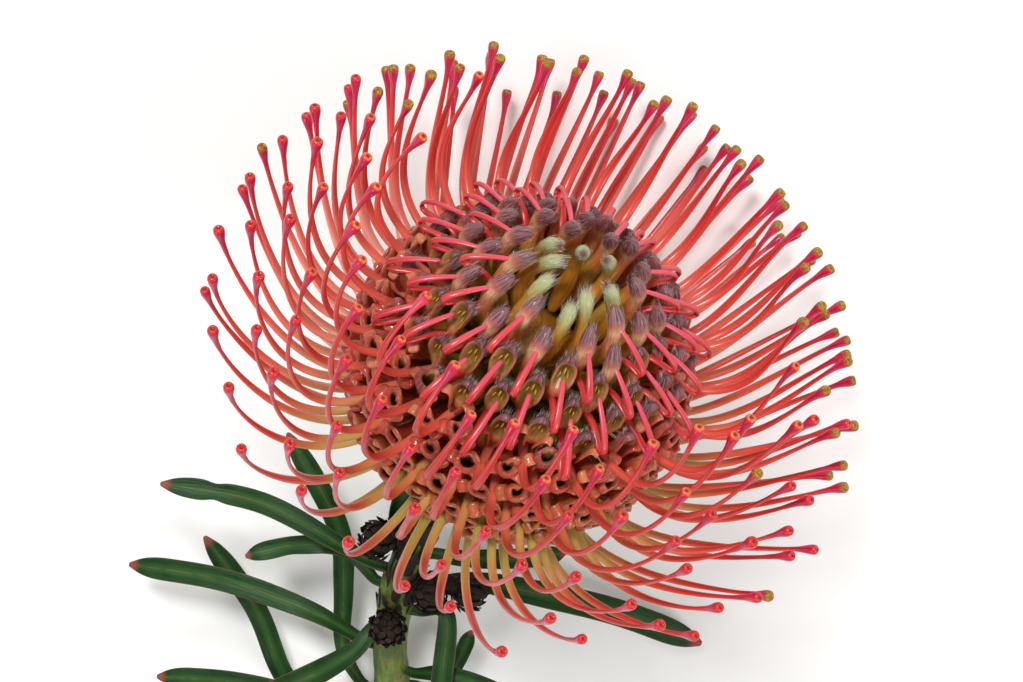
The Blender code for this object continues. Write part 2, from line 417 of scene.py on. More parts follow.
@dataclass(frozen=True)
class Floret:
    """One floret of the head, with its own axes: side runs round the head, out away from its apex."""

    number: int
    angle: float
    turn: float
    stage: Stage
    age: float
    most_sway: float = 0.5
    most_lean: float = 1.8
    last_lean: int = 30
    split_from: int = 34
    split_spread: float = 15.0
    split_chance: float = 5.0
    split_side: float = math.radians(128.0)

    @property
    def up(self) -> Vector:
        """The direction in which the floret grows."""
        return polar(1.0, self.angle, self.turn)

    @property
    def out(self) -> Vector:
        """The direction away from the head's apex, along its surface."""
        return polar(1.0, self.angle + math.pi / 2, self.turn)

    @property
    def side(self) -> Vector:
        """The direction round the head."""
        return Vector((-math.sin(self.turn), math.cos(self.turn), 0.0))

    @property
    def sway(self) -> float:
        """How far the floret's limb stands off to the side, in millimetres."""
        return self.most_sway * wobble(self.number, 8)

    @property
    def lean(self) -> float:
        """How much further than usual its limb leans to the apex, in millimetres."""
        return self.most_lean * max(0.0, 1.0 - self.number / self.last_lean)

    @property
    def split(self) -> bool:
        """Whether its perianth has split open. One side of the head splits before the other."""
        if self.stage is not Stage.BOWED:
            return self.stage is Stage.FREE
        early = self.split_spread * math.cos(self.turn - self.split_side)
        return self.number > self.split_from - early + self.split_chance * wobble(self.number, 13)

    def point(self, side: float, out: float, radius: float) -> Vector:
        """A point by the floret.

        Args:
            side: how far round the head from the floret's line, in millimetres.
            out: how far away from the apex from that line, in millimetres.
            radius: how far out along that line, in millimetres.

        Returns:
            The point in the head's frame.
        """
        return (self.side * side + self.out * out + self.up * radius) * MM


@dataclass(frozen=True)
class Head:
    """The flower head: a golden-angle spiral of florets about its axis."""

    rows: int = 21
    florets_a_row: int = 10
    shut: int = 8
    first_free: int = 54
    first_angle: float = math.radians(21.0)
    last_angle: float = math.radians(124.0)
    whole_turns: float = 16.0 * math.pi
    exit_radius: float = 29.5 * MM
    exit_drop: float = math.radians(7.6)
    exit_flare: float = math.radians(5.0)
    free_out: float = 13.0 * MM
    free_hook: float = 9.0 * MM
    tip_degrees: tuple[float, float, float] = (46.0, 46.0, 2.5)
    tip_radii: tuple[float, float, float] = (48.0, 10.0, 1.5)
    tip_shift: Triple = (-0.5, -3.5, 2.5)
    hook_degrees: tuple[float, float] = (50.0, 26.0)
    hook_side: float = math.radians(75.0)
    least_height: float = 1.0 * MM
    bow: tuple[float, float] = (1.6, 4.8)
    foot_line: tuple[tuple[float, float], ...] = ((0.4, 14.0), (0.7, 20.0))
    foot_reach: float = 5.0 * MM
    foot_steps: int = 16
    curve_steps: int = 48

    @property
    def count(self) -> int:
        """How many florets the head has."""
        return self.rows * self.florets_a_row

    @property
    def frame(self) -> Matrix:
        """Where the head's own frame lies in the row frame."""
        return STEM_FRAME @ Matrix.Rotation(math.pi / 2 - HEAD_RISE, 4, "X")

    def floret(self, number: int) -> Floret:
        """The floret with that number, counted from the apex outwards."""
        first, last = math.cos(self.first_angle), math.cos(self.last_angle)
        cosine = first - (first - last) * number / (self.count - 1)
        row, step = number % self.rows, number // self.rows
        row_turn = self.rows * GOLDEN_ANGLE - self.whole_turns
        if number < self.shut:
            stage, age = Stage.SHUT, number / self.shut
        elif number < self.first_free:
            stage, age = Stage.BOWED, (number - self.shut) / (self.first_free - self.shut)
        else:
            stage, age = Stage.FREE, (number - self.first_free) / (self.count - 1 - self.first_free)
        return Floret(number, math.acos(cosine), row * GOLDEN_ANGLE + step * row_turn, stage, age)

    def lifted(self, point: Vector) -> Vector:
        """The point, raised to the least height above the floor if it is lower."""
        up = Vector((0.0, math.cos(HEAD_RISE), math.sin(HEAD_RISE)))
        return point + up * max(0.0, self.least_height - HEAD_MIDDLE.z - point.dot(up))

    def free_line(self, floret: Floret) -> Line:
        """The line of a free style, from deep in its perianth to its tip."""
        number, age = floret.number, floret.age
        start_angle = floret.angle + self.exit_drop
        out_angle = start_angle + self.exit_flare - 0.5 * max(0.0, start_angle - math.pi / 2)
        start = polar(self.exit_radius, start_angle, floret.turn)
        first, more, chance = self.tip_degrees
        tip_angle = math.radians(first + more * age**0.9 + chance * wobble(number, 1))
        tip_turn = floret.turn + math.radians(chance * wobble(number, 3))
        first, more, chance = self.tip_radii
        tip_radius = (first + more * min(1.0, 1.25 * age) + chance * wobble(number, 2)) * MM
        tip = polar(tip_radius, tip_angle, tip_turn) + Vector(self.tip_shift) * MM
        first, more = self.hook_degrees
        hook = math.radians(first + more * math.cos(tip_turn - self.hook_side))
        leaving = start + polar(self.free_out, out_angle, floret.turn)
        arriving = tip - polar(self.free_hook, tip_angle - hook, tip_turn)
        return self.joined(floret, [start] + [self.lifted(point) for point in (leaving, arriving, tip)])

    def bowed_line(self, floret: Floret) -> Line:
        """The line of a bowed style, whose tip its perianth still holds."""
        bow = self.bow[0] + self.bow[1] * floret.age
        curve = [
            polar(self.exit_radius, floret.angle + self.exit_drop, floret.turn),
            floret.point(0.0, 6.4 + 0.8 * bow, 29.4 + 0.55 * bow),
            floret.point(0.5 * floret.sway, 3.0 + 0.75 * bow, 31.2 + 0.75 * bow),
            floret.point(floret.sway, -2.9 - floret.lean, 29.2),
        ]
        return self.joined(floret, curve)

    def joined(self, floret: Floret, curve: list[Vector]) -> Line:
        """A line from the floret's foot to the curve's start, and on along the curve.

        Args:
            floret: the floret.
            curve: the four Bezier points of the part that shows.

        Returns:
            The whole line.
        """
        start = curve[0]
        before = start - (curve[1] - start).normalized() * self.foot_reach
        foot = [floret.point(0.0, out, radius) for out, radius in self.foot_line] + [before, start]
        hidden = [bezier(foot, k / self.foot_steps) for k in range(self.foot_steps)]
        return Line(hidden + [bezier(curve, k / self.curve_steps) for k in range(self.curve_steps + 1)])


@dataclass(frozen=True)
class FloretPart:
    """What grows on one floret of the head, in one mesh with the rest of its row."""

    head: Head
    floret: Floret
    growth: Growth

    def grow(self) -> None:
        """Grows the part into the mesh."""
        raise NotImplementedError


@dataclass(frozen=True)
class Style(FloretPart):
    """A floret's style, its sizes in millimetres.

    cone holds the rings of the pollen presenter: the distance from the tip, the half width, the along mark.
    held_along and free_tone are a mark's first value and its span.
    """

    sides: int = 6
    rings: int = 16
    crowding: float = 1.35
    foot_half: float = 1.22
    waist_half: float = 0.94
    neck_half: float = 0.56
    bowed_half: float = 0.74
    held_loss: float = 0.24
    flatness: float = 0.66
    held_tone: float = 0.15
    free_tone: tuple[float, float] = (0.25, 0.70)
    tone_chance: float = 0.05
    size_chance: float = 0.08
    held_along: tuple[float, float] = (0.62, 0.28)
    pollen_side: float = math.radians(100.0)
    pollen_chance: float = 0.55
    pollen_from: float = 0.12
    cone_from: float = 0.86
    cone: tuple[Triple, ...] = (
        (-4.9, 0.52, 0.86), (-3.7, 0.54, 0.885), (-2.7, 0.66, 0.91), (-1.9, 0.84, 0.935),
        (-1.2, 1.02, 0.955), (-0.5, 1.14, 0.968), (0.0, 1.15, 0.976), (0.38, 1.02, 0.984),
        (0.58, 0.72, 0.992), (0.54, 0.46, 0.996), (0.30, 0.20, 1.0),
    )

    def grow(self) -> None:
        """Grows the style, unless its perianth hides all of it."""
        if self.floret.stage is Stage.FREE:
            self.free()
        elif self.floret.stage is Stage.BOWED:
            self.bowed()

    def free(self) -> None:
        """Grows a style whose tip is free, with its pollen presenter."""
        number = self.floret.number
        line = self.head.free_line(self.floret)
        ripe = self.free_tone[0] + self.free_tone[1] * self.floret.age
        stalk = Stalk(self.growth, self.sides, tone=ripe + self.tone_chance * wobble(number, 5))
        neck = line.length + self.cone[0][0] * MM
        size = 1.0 + self.size_chance * wobble(number, 6)
        for k in range(self.rings):
            share = 1.0 - (1.0 - k / self.rings) ** self.crowding
            half = self.foot_half + (self.waist_half - self.foot_half) * smooth(0.0, 0.5, share)
            half += (self.neck_half - half) * smooth(0.6, 1.0, share)
            self.ring(stalk, line, share * neck, (half, half * self.flatness), self.cone_from * share)
        for offset, half, share in self.cone:
            self.ring(stalk, line, line.length + offset * MM, (half * size, half * size), share)
        stalk.close()

    def bowed(self) -> None:
        """Grows a style whose tip is still held."""
        line = self.head.bowed_line(self.floret)
        tone = self.held_tone + self.tone_chance * wobble(self.floret.number, 5)
        stalk = Stalk(self.growth, self.sides, tone=tone)
        first, more = self.held_along
        for k in range(self.rings + 1):
            share = k / self.rings
            half = self.foot_half + (self.bowed_half - self.foot_half) * smooth(0.0, 0.6, share)
            half -= self.held_loss * smooth(0.72, 1.0, share)
            self.ring(stalk, line, share * line.length, (half, half * self.flatness), first + more * share)
        stalk.close()

    def ring(
        self, stalk: Stalk, line: Line, distance: float, halves: tuple[float, float], along: float
    ) -> None:
        """Adds a ring.

        Args:
            stalk: what the style is grown as.
            line: the style's line.
            distance: how far along the line the ring lies.
            halves: the ring's half sizes.
            along: its along mark.
        """
        frame = facing(line.at(distance), line.way(distance), self.floret.side)
        stalk.ring(frame, (halves[0] * MM, halves[1] * MM), along, self.pollen)

    @property
    def pollen(self) -> float:
        """How much pollen the cap of a free style carries. One side of the head keeps it."""
        kept = math.cos(self.floret.turn + self.pollen_side)
        kept += self.pollen_chance * wobble(self.floret.number, 7)
        return 1.0 if self.floret.stage is Stage.FREE and kept > self.pollen_from else 0.0


@dataclass(frozen=True)
class Tepal:
    """A rolled tepal of an open perianth.

    foot and edge are places on its middle line: how far from the limb's middle and how far along it, in
    millimetres. The roll starts at the edge.
    """

    bearing: float
    drop: float
    least_age: float
    half: float = 1.30
    roll: float = 1.05
    foot: tuple[tuple[float, float], ...] = ((0.9, -4.6), (1.25, -2.2), (1.65, -0.4))
    edge: tuple[float, float] = (1.7, -0.2)
    rolls_through: float = math.radians(245.0)
    roll_steps: int = 6
    tightening: float = 0.05

    def line(self, size: float, loose: float) -> list[tuple[float, float]]:
        """Where the tepal runs: how far from the limb's middle and how far along it, in millimetres.

        Args:
            size: the roll's size as a share of the usual one.
            loose: how much further than usual it rolls, in radians.

        Returns:
            Points of its middle line, from inside the limb's wall to its tip.
        """
        roll = self.roll * size
        points = [(reach, height - self.drop) for reach, height in self.foot]
        reach, height = self.edge[0] + roll, self.edge[1] - self.drop
        for k in range(1, self.roll_steps + 1):
            angle = math.pi - k * (self.rolls_through + loose) / self.roll_steps
            radius = roll * (1.0 - self.tightening * k)
            points.append((reach + radius * math.cos(angle), height + radius * math.sin(angle)))
        return points


TEPALS = (
    Tepal(bearing=math.radians(-18.0), drop=0.6, least_age=0.03, half=1.5, roll=0.95),
    Tepal(bearing=math.radians(198.0), drop=0.6, least_age=0.03, half=1.5, roll=0.95),
)


@dataclass(frozen=True)
class Perianth(FloretPart):
    """A floret's perianth, its sizes in millimetres.

    A line holds points of its middle, as the side, out and radius of Floret.point, or without the side.
    halves are half widths at those points. gaping_rings holds, for each ring, the place on its line, the half
    width, how much of the rim's lobes it has, its along mark and how far inside the hole it lies.
    """

    club_sides: int = 8
    club_rings: int = 18
    shut_line: tuple[Triple, ...] = (
        (0.0, 0.0, 12.7), (0.0, 0.0, 18.0), (0.0, -0.3, 22.0), (0.0, -1.3, 25.0),
        (0.0, -2.9, 27.0), (0.0, -4.6, 28.2), (0.0, -5.8, 28.7), (0.0, -6.5, 28.9),
    )
    bowed_line: tuple[Triple, ...] = (
        (0.0, 0.0, 12.7), (0.0, 0.2, 19.0), (0.0, 0.3, 23.2), (0.0, -0.7, 26.2),
        (0.0, -2.4, 28.3), (0.0, -4.3, 29.4), (0.0, -5.8, 30.0), (0.0, -6.6, 30.2),
    )
    split_line: tuple[tuple[float, float], ...] = (
        (0.0, 12.7), (0.2, 19.0), (0.4, 23.0), (-0.5, 26.0),
        (-2.2, 28.1), (-4.1, 29.2), (-5.6, 29.6), (-6.3, 29.5),
    )
    shut_halves: tuple[float, ...] = (1.05, 2.05, 1.40, 1.10, 1.52, 1.60, 0.98, 0.28)
    bowed_halves: tuple[float, ...] = (1.05, 2.05, 1.50, 1.36, 1.66, 1.62, 0.98, 0.26)
    young_halves: tuple[float, ...] = (1.05, 2.05, 1.50, 1.50, 1.88, 1.82, 1.12, 0.30)
    old_halves: tuple[float, ...] = (1.05, 2.05, 1.55, 1.75, 2.20, 2.10, 1.70, 0.75)
    shut_ripeness: float = 0.14
    bowed_ripeness: tuple[float, float] = (0.2, 0.15)
    cup_sides: int = 12
    split_rings: int = 19
    lump_size: float = 1.5
    lump_depth: float = 0.42
    lobes: int = 3
    lobe_height: float = 0.45
    lobe_bulge: float = 0.25
    hood_height: float = 1.3
    hood_lean: float = 1.1
    slit_from: float = 2.9
    slit_depth: float = 1.45
    slit_end: tuple[float, float] = (5.1, 5.9)
    lip_lift: float = 0.20
    lip_spread: float = 0.35
    lip_mark: float = 0.30
    crease: float = 0.16
    gaping_rings: tuple[tuple[float, float, float, float, float], ...] = (
        (0.0, 1.05, 0.0, 0.00, 0.0), (0.6, 1.90, 0.0, 0.10, 0.0), (1.2, 2.00, 0.0, 0.25, 0.0),
        (2.0, 1.60, 0.0, 0.38, 0.0), (2.9, 1.65, 0.1, 0.50, 0.0), (3.7, 1.95, 0.4, 0.60, 0.0),
        (4.4, 2.25, 0.8, 0.70, 0.0), (5.0, 2.20, 1.0, 0.80, 0.0), (5.4, 1.70, 1.0, 0.88, 0.0),
        (5.25, 1.22, 1.0, 0.92, 0.2), (4.8, 1.00, 0.95, 0.85, 0.8), (4.2, 0.88, 0.7, 0.60, 1.0),
        (3.6, 0.80, 0.4, 0.50, 1.0), (2.9, 0.40, 0.0, 0.30, 1.0),
    )
    strap_sides: int = 6
    strap_rings: int = 11
    strap_half_thickness: float = 0.52
    strap_place: float = 4.3
    sleeve_youth: float = 0.55
    anther_youth: float = 0.70
    anther_halves: Triple = (0.17 * MM, 0.14 * MM, 0.9 * MM)

    def grow(self) -> None:
        """Grows the perianth as old as the floret is."""
        if not self.floret.split:
            self.club()
            return
        if self.youth > self.sleeve_youth:
            self.sleeve()
        else:
            self.gaping()
        for which, tepal in enumerate(TEPALS):
            if self.floret.stage is Stage.FREE and self.floret.age >= tepal.least_age:
                self.strap(tepal, which)
        if self.youth > self.anther_youth:
            for hand in (-1.0, 0.0, 1.0):
                self.anther(hand)

    @property
    def club_line(self) -> list[Vector]:
        """The points of the middle line of a perianth that is still shut."""
        floret = self.floret
        points = []
        for side, out, radius in self.shut_line if floret.stage is Stage.SHUT else self.bowed_line:
            loose = smooth(20.0, 27.0, radius)
            points.append(floret.point(side + floret.sway * loose, out - floret.lean * loose, radius))
        return points

    def club_half(self, where: float) -> float:
        """The half width of a perianth that is still shut, at that place on its line."""
        shut = self.floret.stage is Stage.SHUT
        size = (0.90 if shut else 0.97) + 0.05 * wobble(self.floret.number, 9)
        return table(tuple(enumerate(self.shut_halves if shut else self.bowed_halves)), where) * size

    def club(self) -> None:
        """Grows a perianth that is still shut: a slim claw under a swollen limb that leans to the apex."""
        points, age = self.club_line, self.floret.age
        first, more = (0.0, self.shut_ripeness) if self.floret.stage is Stage.SHUT else self.bowed_ripeness
        stalk = Stalk(self.growth, self.club_sides, tone=first + more * age)
        last = len(points) - 1
        for k in range(self.club_rings):
            where = last * k / (self.club_rings - 1)
            half = self.club_half(where) * MM
            frame = facing(spline(points, where), heading(points, where), self.floret.side)
            stalk.ring(frame, (half, half), where / last)
        stalk.close()

    @property
    def youth(self) -> float:
        """How young a split perianth looks, between 0 and 1."""
        if self.floret.stage is Stage.BOWED:
            return 1.0
        return 1.0 - smooth(0.02, 0.40, self.floret.age + 0.08 * wobble(self.floret.number, 15))

    @property
    def split_tone(self) -> float:
        """The tone mark of a split perianth."""
        return 0.4 if self.floret.stage is Stage.BOWED else 0.4 + 0.6 * self.floret.age

    def split_frame(self, where: float) -> Matrix:
        """The frame of a split perianth's section: side, toward the apex, and along the limb.

        Args:
            where: the place along its line, which counts the line's points from 0.

        Returns:
            The frame.
        """
        floret, number = self.floret, self.floret.number
        bend = 0.85 + 0.15 * self.youth + 0.12 * wobble(number, 16)
        lean = floret.lean if floret.stage is Stage.BOWED else 0.0
        points = []
        for out, radius in self.split_line:
            loose = smooth(20.0, 28.0, radius)
            side = (floret.sway + 0.5 * wobble(number, 17)) * loose
            height = radius + 0.6 * loose * wobble(number, 18)
            points.append(floret.point(side, (out * bend if out < 0.0 else out) - lean * loose, height))
        return facing(spline(points, where), heading(points, where, held=True), floret.side)

    def split_half(self, where: float) -> float:
        """A split perianth's half width at that place on its line."""
        early = table(tuple(enumerate(self.young_halves)), where)
        late = table(tuple(enumerate(self.old_halves)), where)
        return (late + (early - late) * self.youth) * (1.0 + 0.06 * wobble(self.floret.number, 11))

    def gaping(self) -> None:
        """Grows an old split perianth: a claw under a limb of thick lobes with a dark hole between them."""
        number = self.floret.number
        stalk = Stalk(self.growth, self.cup_sides, tone=self.split_tone)
        width = 1.0 + 0.10 * wobble(number, 11)
        hole = 0.78 + 0.22 * wobble(number, 22)
        for where, half, rim, along, inside in self.gaping_rings:
            frame = self.split_frame(where)
            side, apex, way = axes(frame)
            half *= width * (hole if inside > 0.5 else 1.0)
            # The mark is how far inside the hole the ring lies; the finish paints the hole dark as painted
            # shade.
            stalk.ring(frame, (half * MM, half * (1.0 - 0.10 * rim) * MM), along, inside)
            lumpy = self.lump_depth * smooth(0.35, 0.6, along) * MM
            for vert, u, v in stalk.corners():
                lobe = math.cos(self.lobes * math.atan2(v, u) + math.pi / 2 + 0.8 * wobble(number, 14))
                lobe += 0.8 * math.sin(2.0 * math.atan2(v, u) + 3.0 * wobble(number, 19))
                hood, slit = smooth(-0.1, 1.0, v), smooth(-0.1, 1.0, -v)
                height = self.hood_height * hood - self.hood_height * slit + self.lobe_height * lobe
                shift = way * height - apex * self.hood_lean * hood
                shift += (side * u + apex * v) * self.lobe_bulge * lobe
                vert.co += shift * rim * MM
                vert.co += noise.noise_vector(vert.co / (self.lump_size * MM)) * lumpy
        stalk.close()

    def sleeve(self) -> None:
        """Grows a young split perianth, whose limb leans to the apex and is hollow on its other side."""
        number, young = self.floret.number, self.youth
        stalk = Stalk(self.growth, self.cup_sides, tone=self.split_tone)
        last = len(self.split_line) - 1
        start = self.slit_from + 0.5 * (1.0 - young) + 0.25 * wobble(number, 12)
        for k in range(self.split_rings):
            where = last * k / (self.split_rings - 1)
            frame = self.split_frame(where)
            side, apex, _ = axes(frame)
            half = self.split_half(where)
            open_here = smooth(start, start + 0.7, where) * (1.0 - smooth(*self.slit_end, where))
            old_here = (1.0 - young) * smooth(3.0, 4.5, where)
            stalk.ring(frame, (half * MM, half * 0.94 * MM), where / last)
            for vert, u, v in stalk.corners():
                pressed = open_here * smooth(0.60, 0.95, -v)
                lip = open_here * max(0.0, 1.0 - abs(-v - 0.5) / 0.4)
                lobe = math.sin(self.lobes * math.atan2(v, u) + 3.0 * wobble(number, 14) + 1.3 * where)
                shift = apex * (self.slit_depth * pressed * half - self.lip_lift * lip)
                shift += side * u * (self.lip_spread * lip - 0.15 * pressed)
                shift += (side * u + apex * v) * self.crease * old_here * lobe
                vert.co += shift * MM
                # The mark that the finish reads: the pressed-in slit gets the inside colour, darkened with
                # age as painted shade, and the lips a painted highlight.
                vert[self.growth.mark] = max(pressed, self.lip_mark * lip)
        stalk.close()

    def strap(self, tepal: Tepal, which: int) -> None:
        """Grows one rolled tepal of a split perianth.

        Args:
            tepal: its shape.
            which: what tells this tepal's chance from the others'.
        """
        number = self.floret.number
        size = 0.80 + 0.20 * smooth(0.02, 0.35, self.floret.age) + 0.16 * wobble(number, 20 + which)
        bearing = tepal.bearing + 0.30 * wobble(number, 30 + which)
        frame = self.split_frame(self.strap_place)
        side, apex, limb = axes(frame)
        outward = side * math.cos(bearing) + apex * math.sin(bearing)
        across = apex * math.cos(bearing) - side * math.sin(bearing)
        points = []
        for reach, height in tepal.line(size, 0.7 * wobble(number, 40 + which)):
            loose = smooth(-3.0, 0.0, height)
            height += 0.5 * loose * wobble(number, 50 + which)
            aside = across * 0.5 * loose * wobble(number, 60 + which)
            points.append(frame.to_translation() + (limb * height + outward * reach + aside) * MM)
        tone = min(1.0, max(0.42, self.split_tone + 0.2 * wobble(number, 70 + which)))
        stalk = Stalk(self.growth, self.strap_sides, tone=tone)
        last = len(points) - 1
        for k in range(self.strap_rings):
            where = last * k / (self.strap_rings - 1)
            share = where / last
            taper = (0.75 + 0.25 * smooth(0.0, 0.4, share)) * (1.0 - 0.8 * smooth(0.62, 1.0, share))
            half = tepal.half * size * taper
            thickness = self.strap_half_thickness * size * (1.0 - 0.6 * smooth(0.7, 1.0, share))
            section = facing(spline(points, where), heading(points, where, 0.1, held=True), across)
            stalk.ring(section, (half * MM, thickness * MM), 0.42 + 0.22 * share, 0.0, 0.25 * half * MM)
        stalk.close()

    def anther(self, hand: float) -> None:
        """Adds a golden anther on the floor of a sleeve.

        Args:
            hand: -1, 0 or 1, the place across the floret.
        """
        inner = self.split_frame(self.strap_place + 0.4 * (1.0 - abs(hand)))
        side, apex, limb = axes(inner)
        middle = inner.to_translation() + (side * 0.75 * hand + apex * 0.35) * MM
        frame = facing(middle, limb - side * 0.2 * hand, side) @ Matrix.Diagonal((*self.anther_halves, 1.0))
        made = bmesh.ops.create_icosphere(self.growth.bm, subdivisions=1, radius=1.0, matrix=frame)
        self.growth.label(made["verts"], 1.0, 0.5, 0.0)
        for face in {face for vert in made["verts"] for face in vert.link_faces}:
            face.material_index = 1


def build_row(
    head: Head, row: int, part: type[FloretPart], slot: Slot, materials: list[bpy.types.Material]
) -> bpy.types.Object:
    """Builds one kind of part on all florets of one curving row, as one piece.

    Args:
        head: the head.
        row: the row's number, from 0.
        part: the kind of part.
        slot: its material slot, whose name the piece and its node have as well.
        materials: its materials.

    Returns:
        The piece.
    """
    growth = Growth()
    for step in range(head.florets_a_row):
        part(head, head.floret(row + head.rows * step), growth).grow()
    kind, number = slot.value, f"{row + 1:02d}"
    return finish_piece(f"{kind}s_{number}", growth, head.frame, materials, (f"{kind}_row_{number}",))


@dataclass(frozen=True)
class LimbHairs:
    """The silky hairs on the limbs near the middle of the head, their sizes in millimetres.

    A stretch of the limb is where they start and how far they go: split_stretch counts the line's points, and
    shut_stretch is a share of the line. Split limbs have them on the apex's side alone.
    """

    half: float = 0.026
    lengths: tuple[float, float] = (0.9, 2.1)
    sides: int = 3
    on_shut: int = 90
    on_bowed: int = 64
    last: int = 84
    split_stretch: tuple[float, float] = (4.0, 2.4)
    shut_stretch: tuple[float, float] = (0.46, 0.42)
    split_turn: float = math.radians(20.0)
    split_share: float = 140.0 / 360.0
    split_depth: float = 0.92
    shut_depth: float = 0.93
    rise: tuple[float, float] = (-0.04, 0.16)
    stray: float = 0.22
    paleness: tuple[float, float] = (0.2, 0.6)

    def hair(self, growth: Growth, foot: Vector, way: Vector, length: float, pale: float) -> None:
        """Adds one hair, a slim cone.

        Args:
            growth: the mesh.
            foot: where it grows.
            way: its direction.
            length: its length.
            pale: its mark: 1 for a white hair, 0 for a lilac one.
        """
        frame = facing(foot + way.normalized() * length * 0.5, way, Vector((0.31, 0.42, 0.85)))
        made = bmesh.ops.create_cone(
            growth.bm, cap_ends=True, segments=self.sides, radius1=self.half * MM, radius2=0.0, depth=length,
            matrix=frame,
        )
        growth.label(made["verts"], 0.5, 0.5, pale)

    def dress(self, perianth: Perianth, chance: random.Random) -> None:
        """Covers one limb with hairs.

        Args:
            perianth: the perianth whose limb it is, in the hairs' mesh.
            chance: where the random draws come from.
        """
        floret, points = perianth.floret, perianth.club_line
        shut = floret.stage is Stage.SHUT
        for _ in range(self.on_shut if shut else self.on_bowed):
            share = chance.random()
            turn = 2 * math.pi * chance.random()
            if floret.split:
                turn = self.split_turn + turn * self.split_share
                where = self.split_stretch[0] + self.split_stretch[1] * share
                middle = perianth.split_frame(where)
                half = perianth.split_half(where) * self.split_depth * MM
            else:
                where = (len(points) - 1) * (self.shut_stretch[0] + self.shut_stretch[1] * share)
                middle = facing(spline(points, where), heading(points, where), floret.side)
                half = perianth.club_half(where) * self.shut_depth * MM
            side, apex, limb = axes(middle)
            normal = side * math.cos(turn) + apex * math.sin(turn)
            foot = middle.to_translation() + normal * half
            lean = limb + normal * chance.uniform(*self.rise) + side * chance.uniform(-self.stray, self.stray)
            length = chance.uniform(*self.lengths) * MM
            pale = 1.0 if shut else self.paleness[0] + self.paleness[1] * chance.random()
            self.hair(perianth.growth, foot, lean, length, pale)

    def build(self, head: Head, materials: list[bpy.types.Material]) -> bpy.types.Object:
        """Builds all of the hairs as one piece.

        Args:
            head: the head.
            materials: the hairs' material.

        Returns:
            The piece.
        """
        growth = Growth()
        chance = random.Random(HAIR_SEED)
        for number in range(self.last):
            self.dress(Perianth(head, head.floret(number), growth), chance)
        return finish_piece("limb_hairs", growth, head.frame, materials, rounds=0)


@dataclass(frozen=True)
class Stem:
    """The stem, with the receptacle at its top. Its line is in millimetres from the head's middle.

    cut holds the rings of its cut face, as the share of the radius and how far they stand out.
    """

    points: tuple[Triple, ...] = (
        (0.0, 6.9, -4.0), (0.0, 12.1, -7.0), (0.0, 17.3, -10.0), (0.0, 25.1, -14.5), (0.0, 43.3, -25.0),
        (-2.5, 65.5, -36.5), (-6.4, 77.5, -41.0), (-10.7, 87.4, -44.6), (-14.7, 96.2, -47.3),
        (-17.6, 102.6, -48.1),
    )
    radii: tuple[float, ...] = (6.0, 8.2, 4.6, 3.0, 2.7, 3.0, 3.2, 3.4, 3.5, 3.6)
    starts: float = 2.0
    receptacle: float = 12.0
    dome_degrees: tuple[int, ...] = (8, 25, 42, 60, 78, 96, 114, 131)
    cut: tuple[tuple[float, float], ...] = ((0.93, 0.10), (0.90, 0.10), (0.45, 0.04), (0.14, 0.02))
    axis: Vector = field(default_factory=lambda: Vector((0.0, -math.cos(HEAD_RISE), 0.5)))
    sides: int = 18
    rings: int = 84
    swell: float = 0.55 * MM
    swell_before: float = 0.16
    swell_after: float = 0.42
    roughness: float = 0.10 * MM

    def point(self, where: float) -> Vector:
        """A point on the stem's middle line, where counts its points from 0."""
        return spline([Vector(point) * MM for point in self.points], where)

    def radius(self, where: float) -> float:
        """The stem's radius there."""
        return spline([Vector((radius, 0.0, 0.0)) * MM for radius in self.radii], where).x

    def way(self, where: float) -> Vector:
        """The stem's direction there, away from the head."""
        last = len(self.points) - 1
        return (self.point(min(where + 0.05, last)) - self.point(where - 0.05)).normalized()

    def swelling(self, leaves: "tuple[Leaf, ...]", where: float, out: Vector) -> float:
        """How far the stem swells out where leaves grow from it.

        Args:
            leaves: the leaves.
            where: the place along the stem.
            out: the direction away from its middle line.

        Returns:
            The swelling, in metres.
        """
        total = 0.0
        for leaf in leaves:
            along = (where - leaf.where) / (self.swell_after if where > leaf.where else self.swell_before)
            near = max(0.0, leaf.outward(self).dot(out))
            total += self.swell * math.exp(-along * along) * near**4
        return total

    def build(self, leaves: "tuple[Leaf, ...]", materials: list[bpy.types.Material]) -> bpy.types.Object:
        """Builds the stem's piece.

        Args:
            leaves: the leaves that grow from it.
            materials: its bark and its cut face.

        Returns:
            The piece.
        """
        growth = Growth()
        stalk = Stalk(growth, self.sides)
        side = Vector((1.0, 0.0, 0.0))
        for angle in map(math.radians, self.dome_degrees):
            half = self.receptacle * MM * math.sin(angle)
            middle = self.axis * (self.receptacle * MM * math.cos(angle))
            stalk.ring(facing(middle, -self.axis, side), (half, half), 0.0, 1.0)
        last = len(self.points) - 1
        for k in range(self.rings):
            where = self.starts + (last - self.starts) * k / (self.rings - 1)
            frame = facing(self.point(where), self.way(where), side)
            half = self.radius(where)
            stalk.ring(frame, (half, half), k / (self.rings - 1))
            across, over, _ = axes(frame)
            for vert, u, v in stalk.corners():
                out = across * u + over * v
                rough = self.roughness * math.sin(3.1 * k + 5.0 * u) * math.cos(1.7 * k - 6.0 * v)
                vert.co += out * (self.swelling(leaves, where, out) + rough)
        stalk.paint_slot = 1
        way, half = self.way(last), self.radius(last)
        for share, inset in self.cut:
            frame = facing(self.point(last) + way * inset * MM, way, side)
            stalk.ring(frame, (half * share, half * share), share)
        stalk.close()
        return finish_piece("stem", growth, STEM_FRAME, materials, ("stem_and_receptacle",))


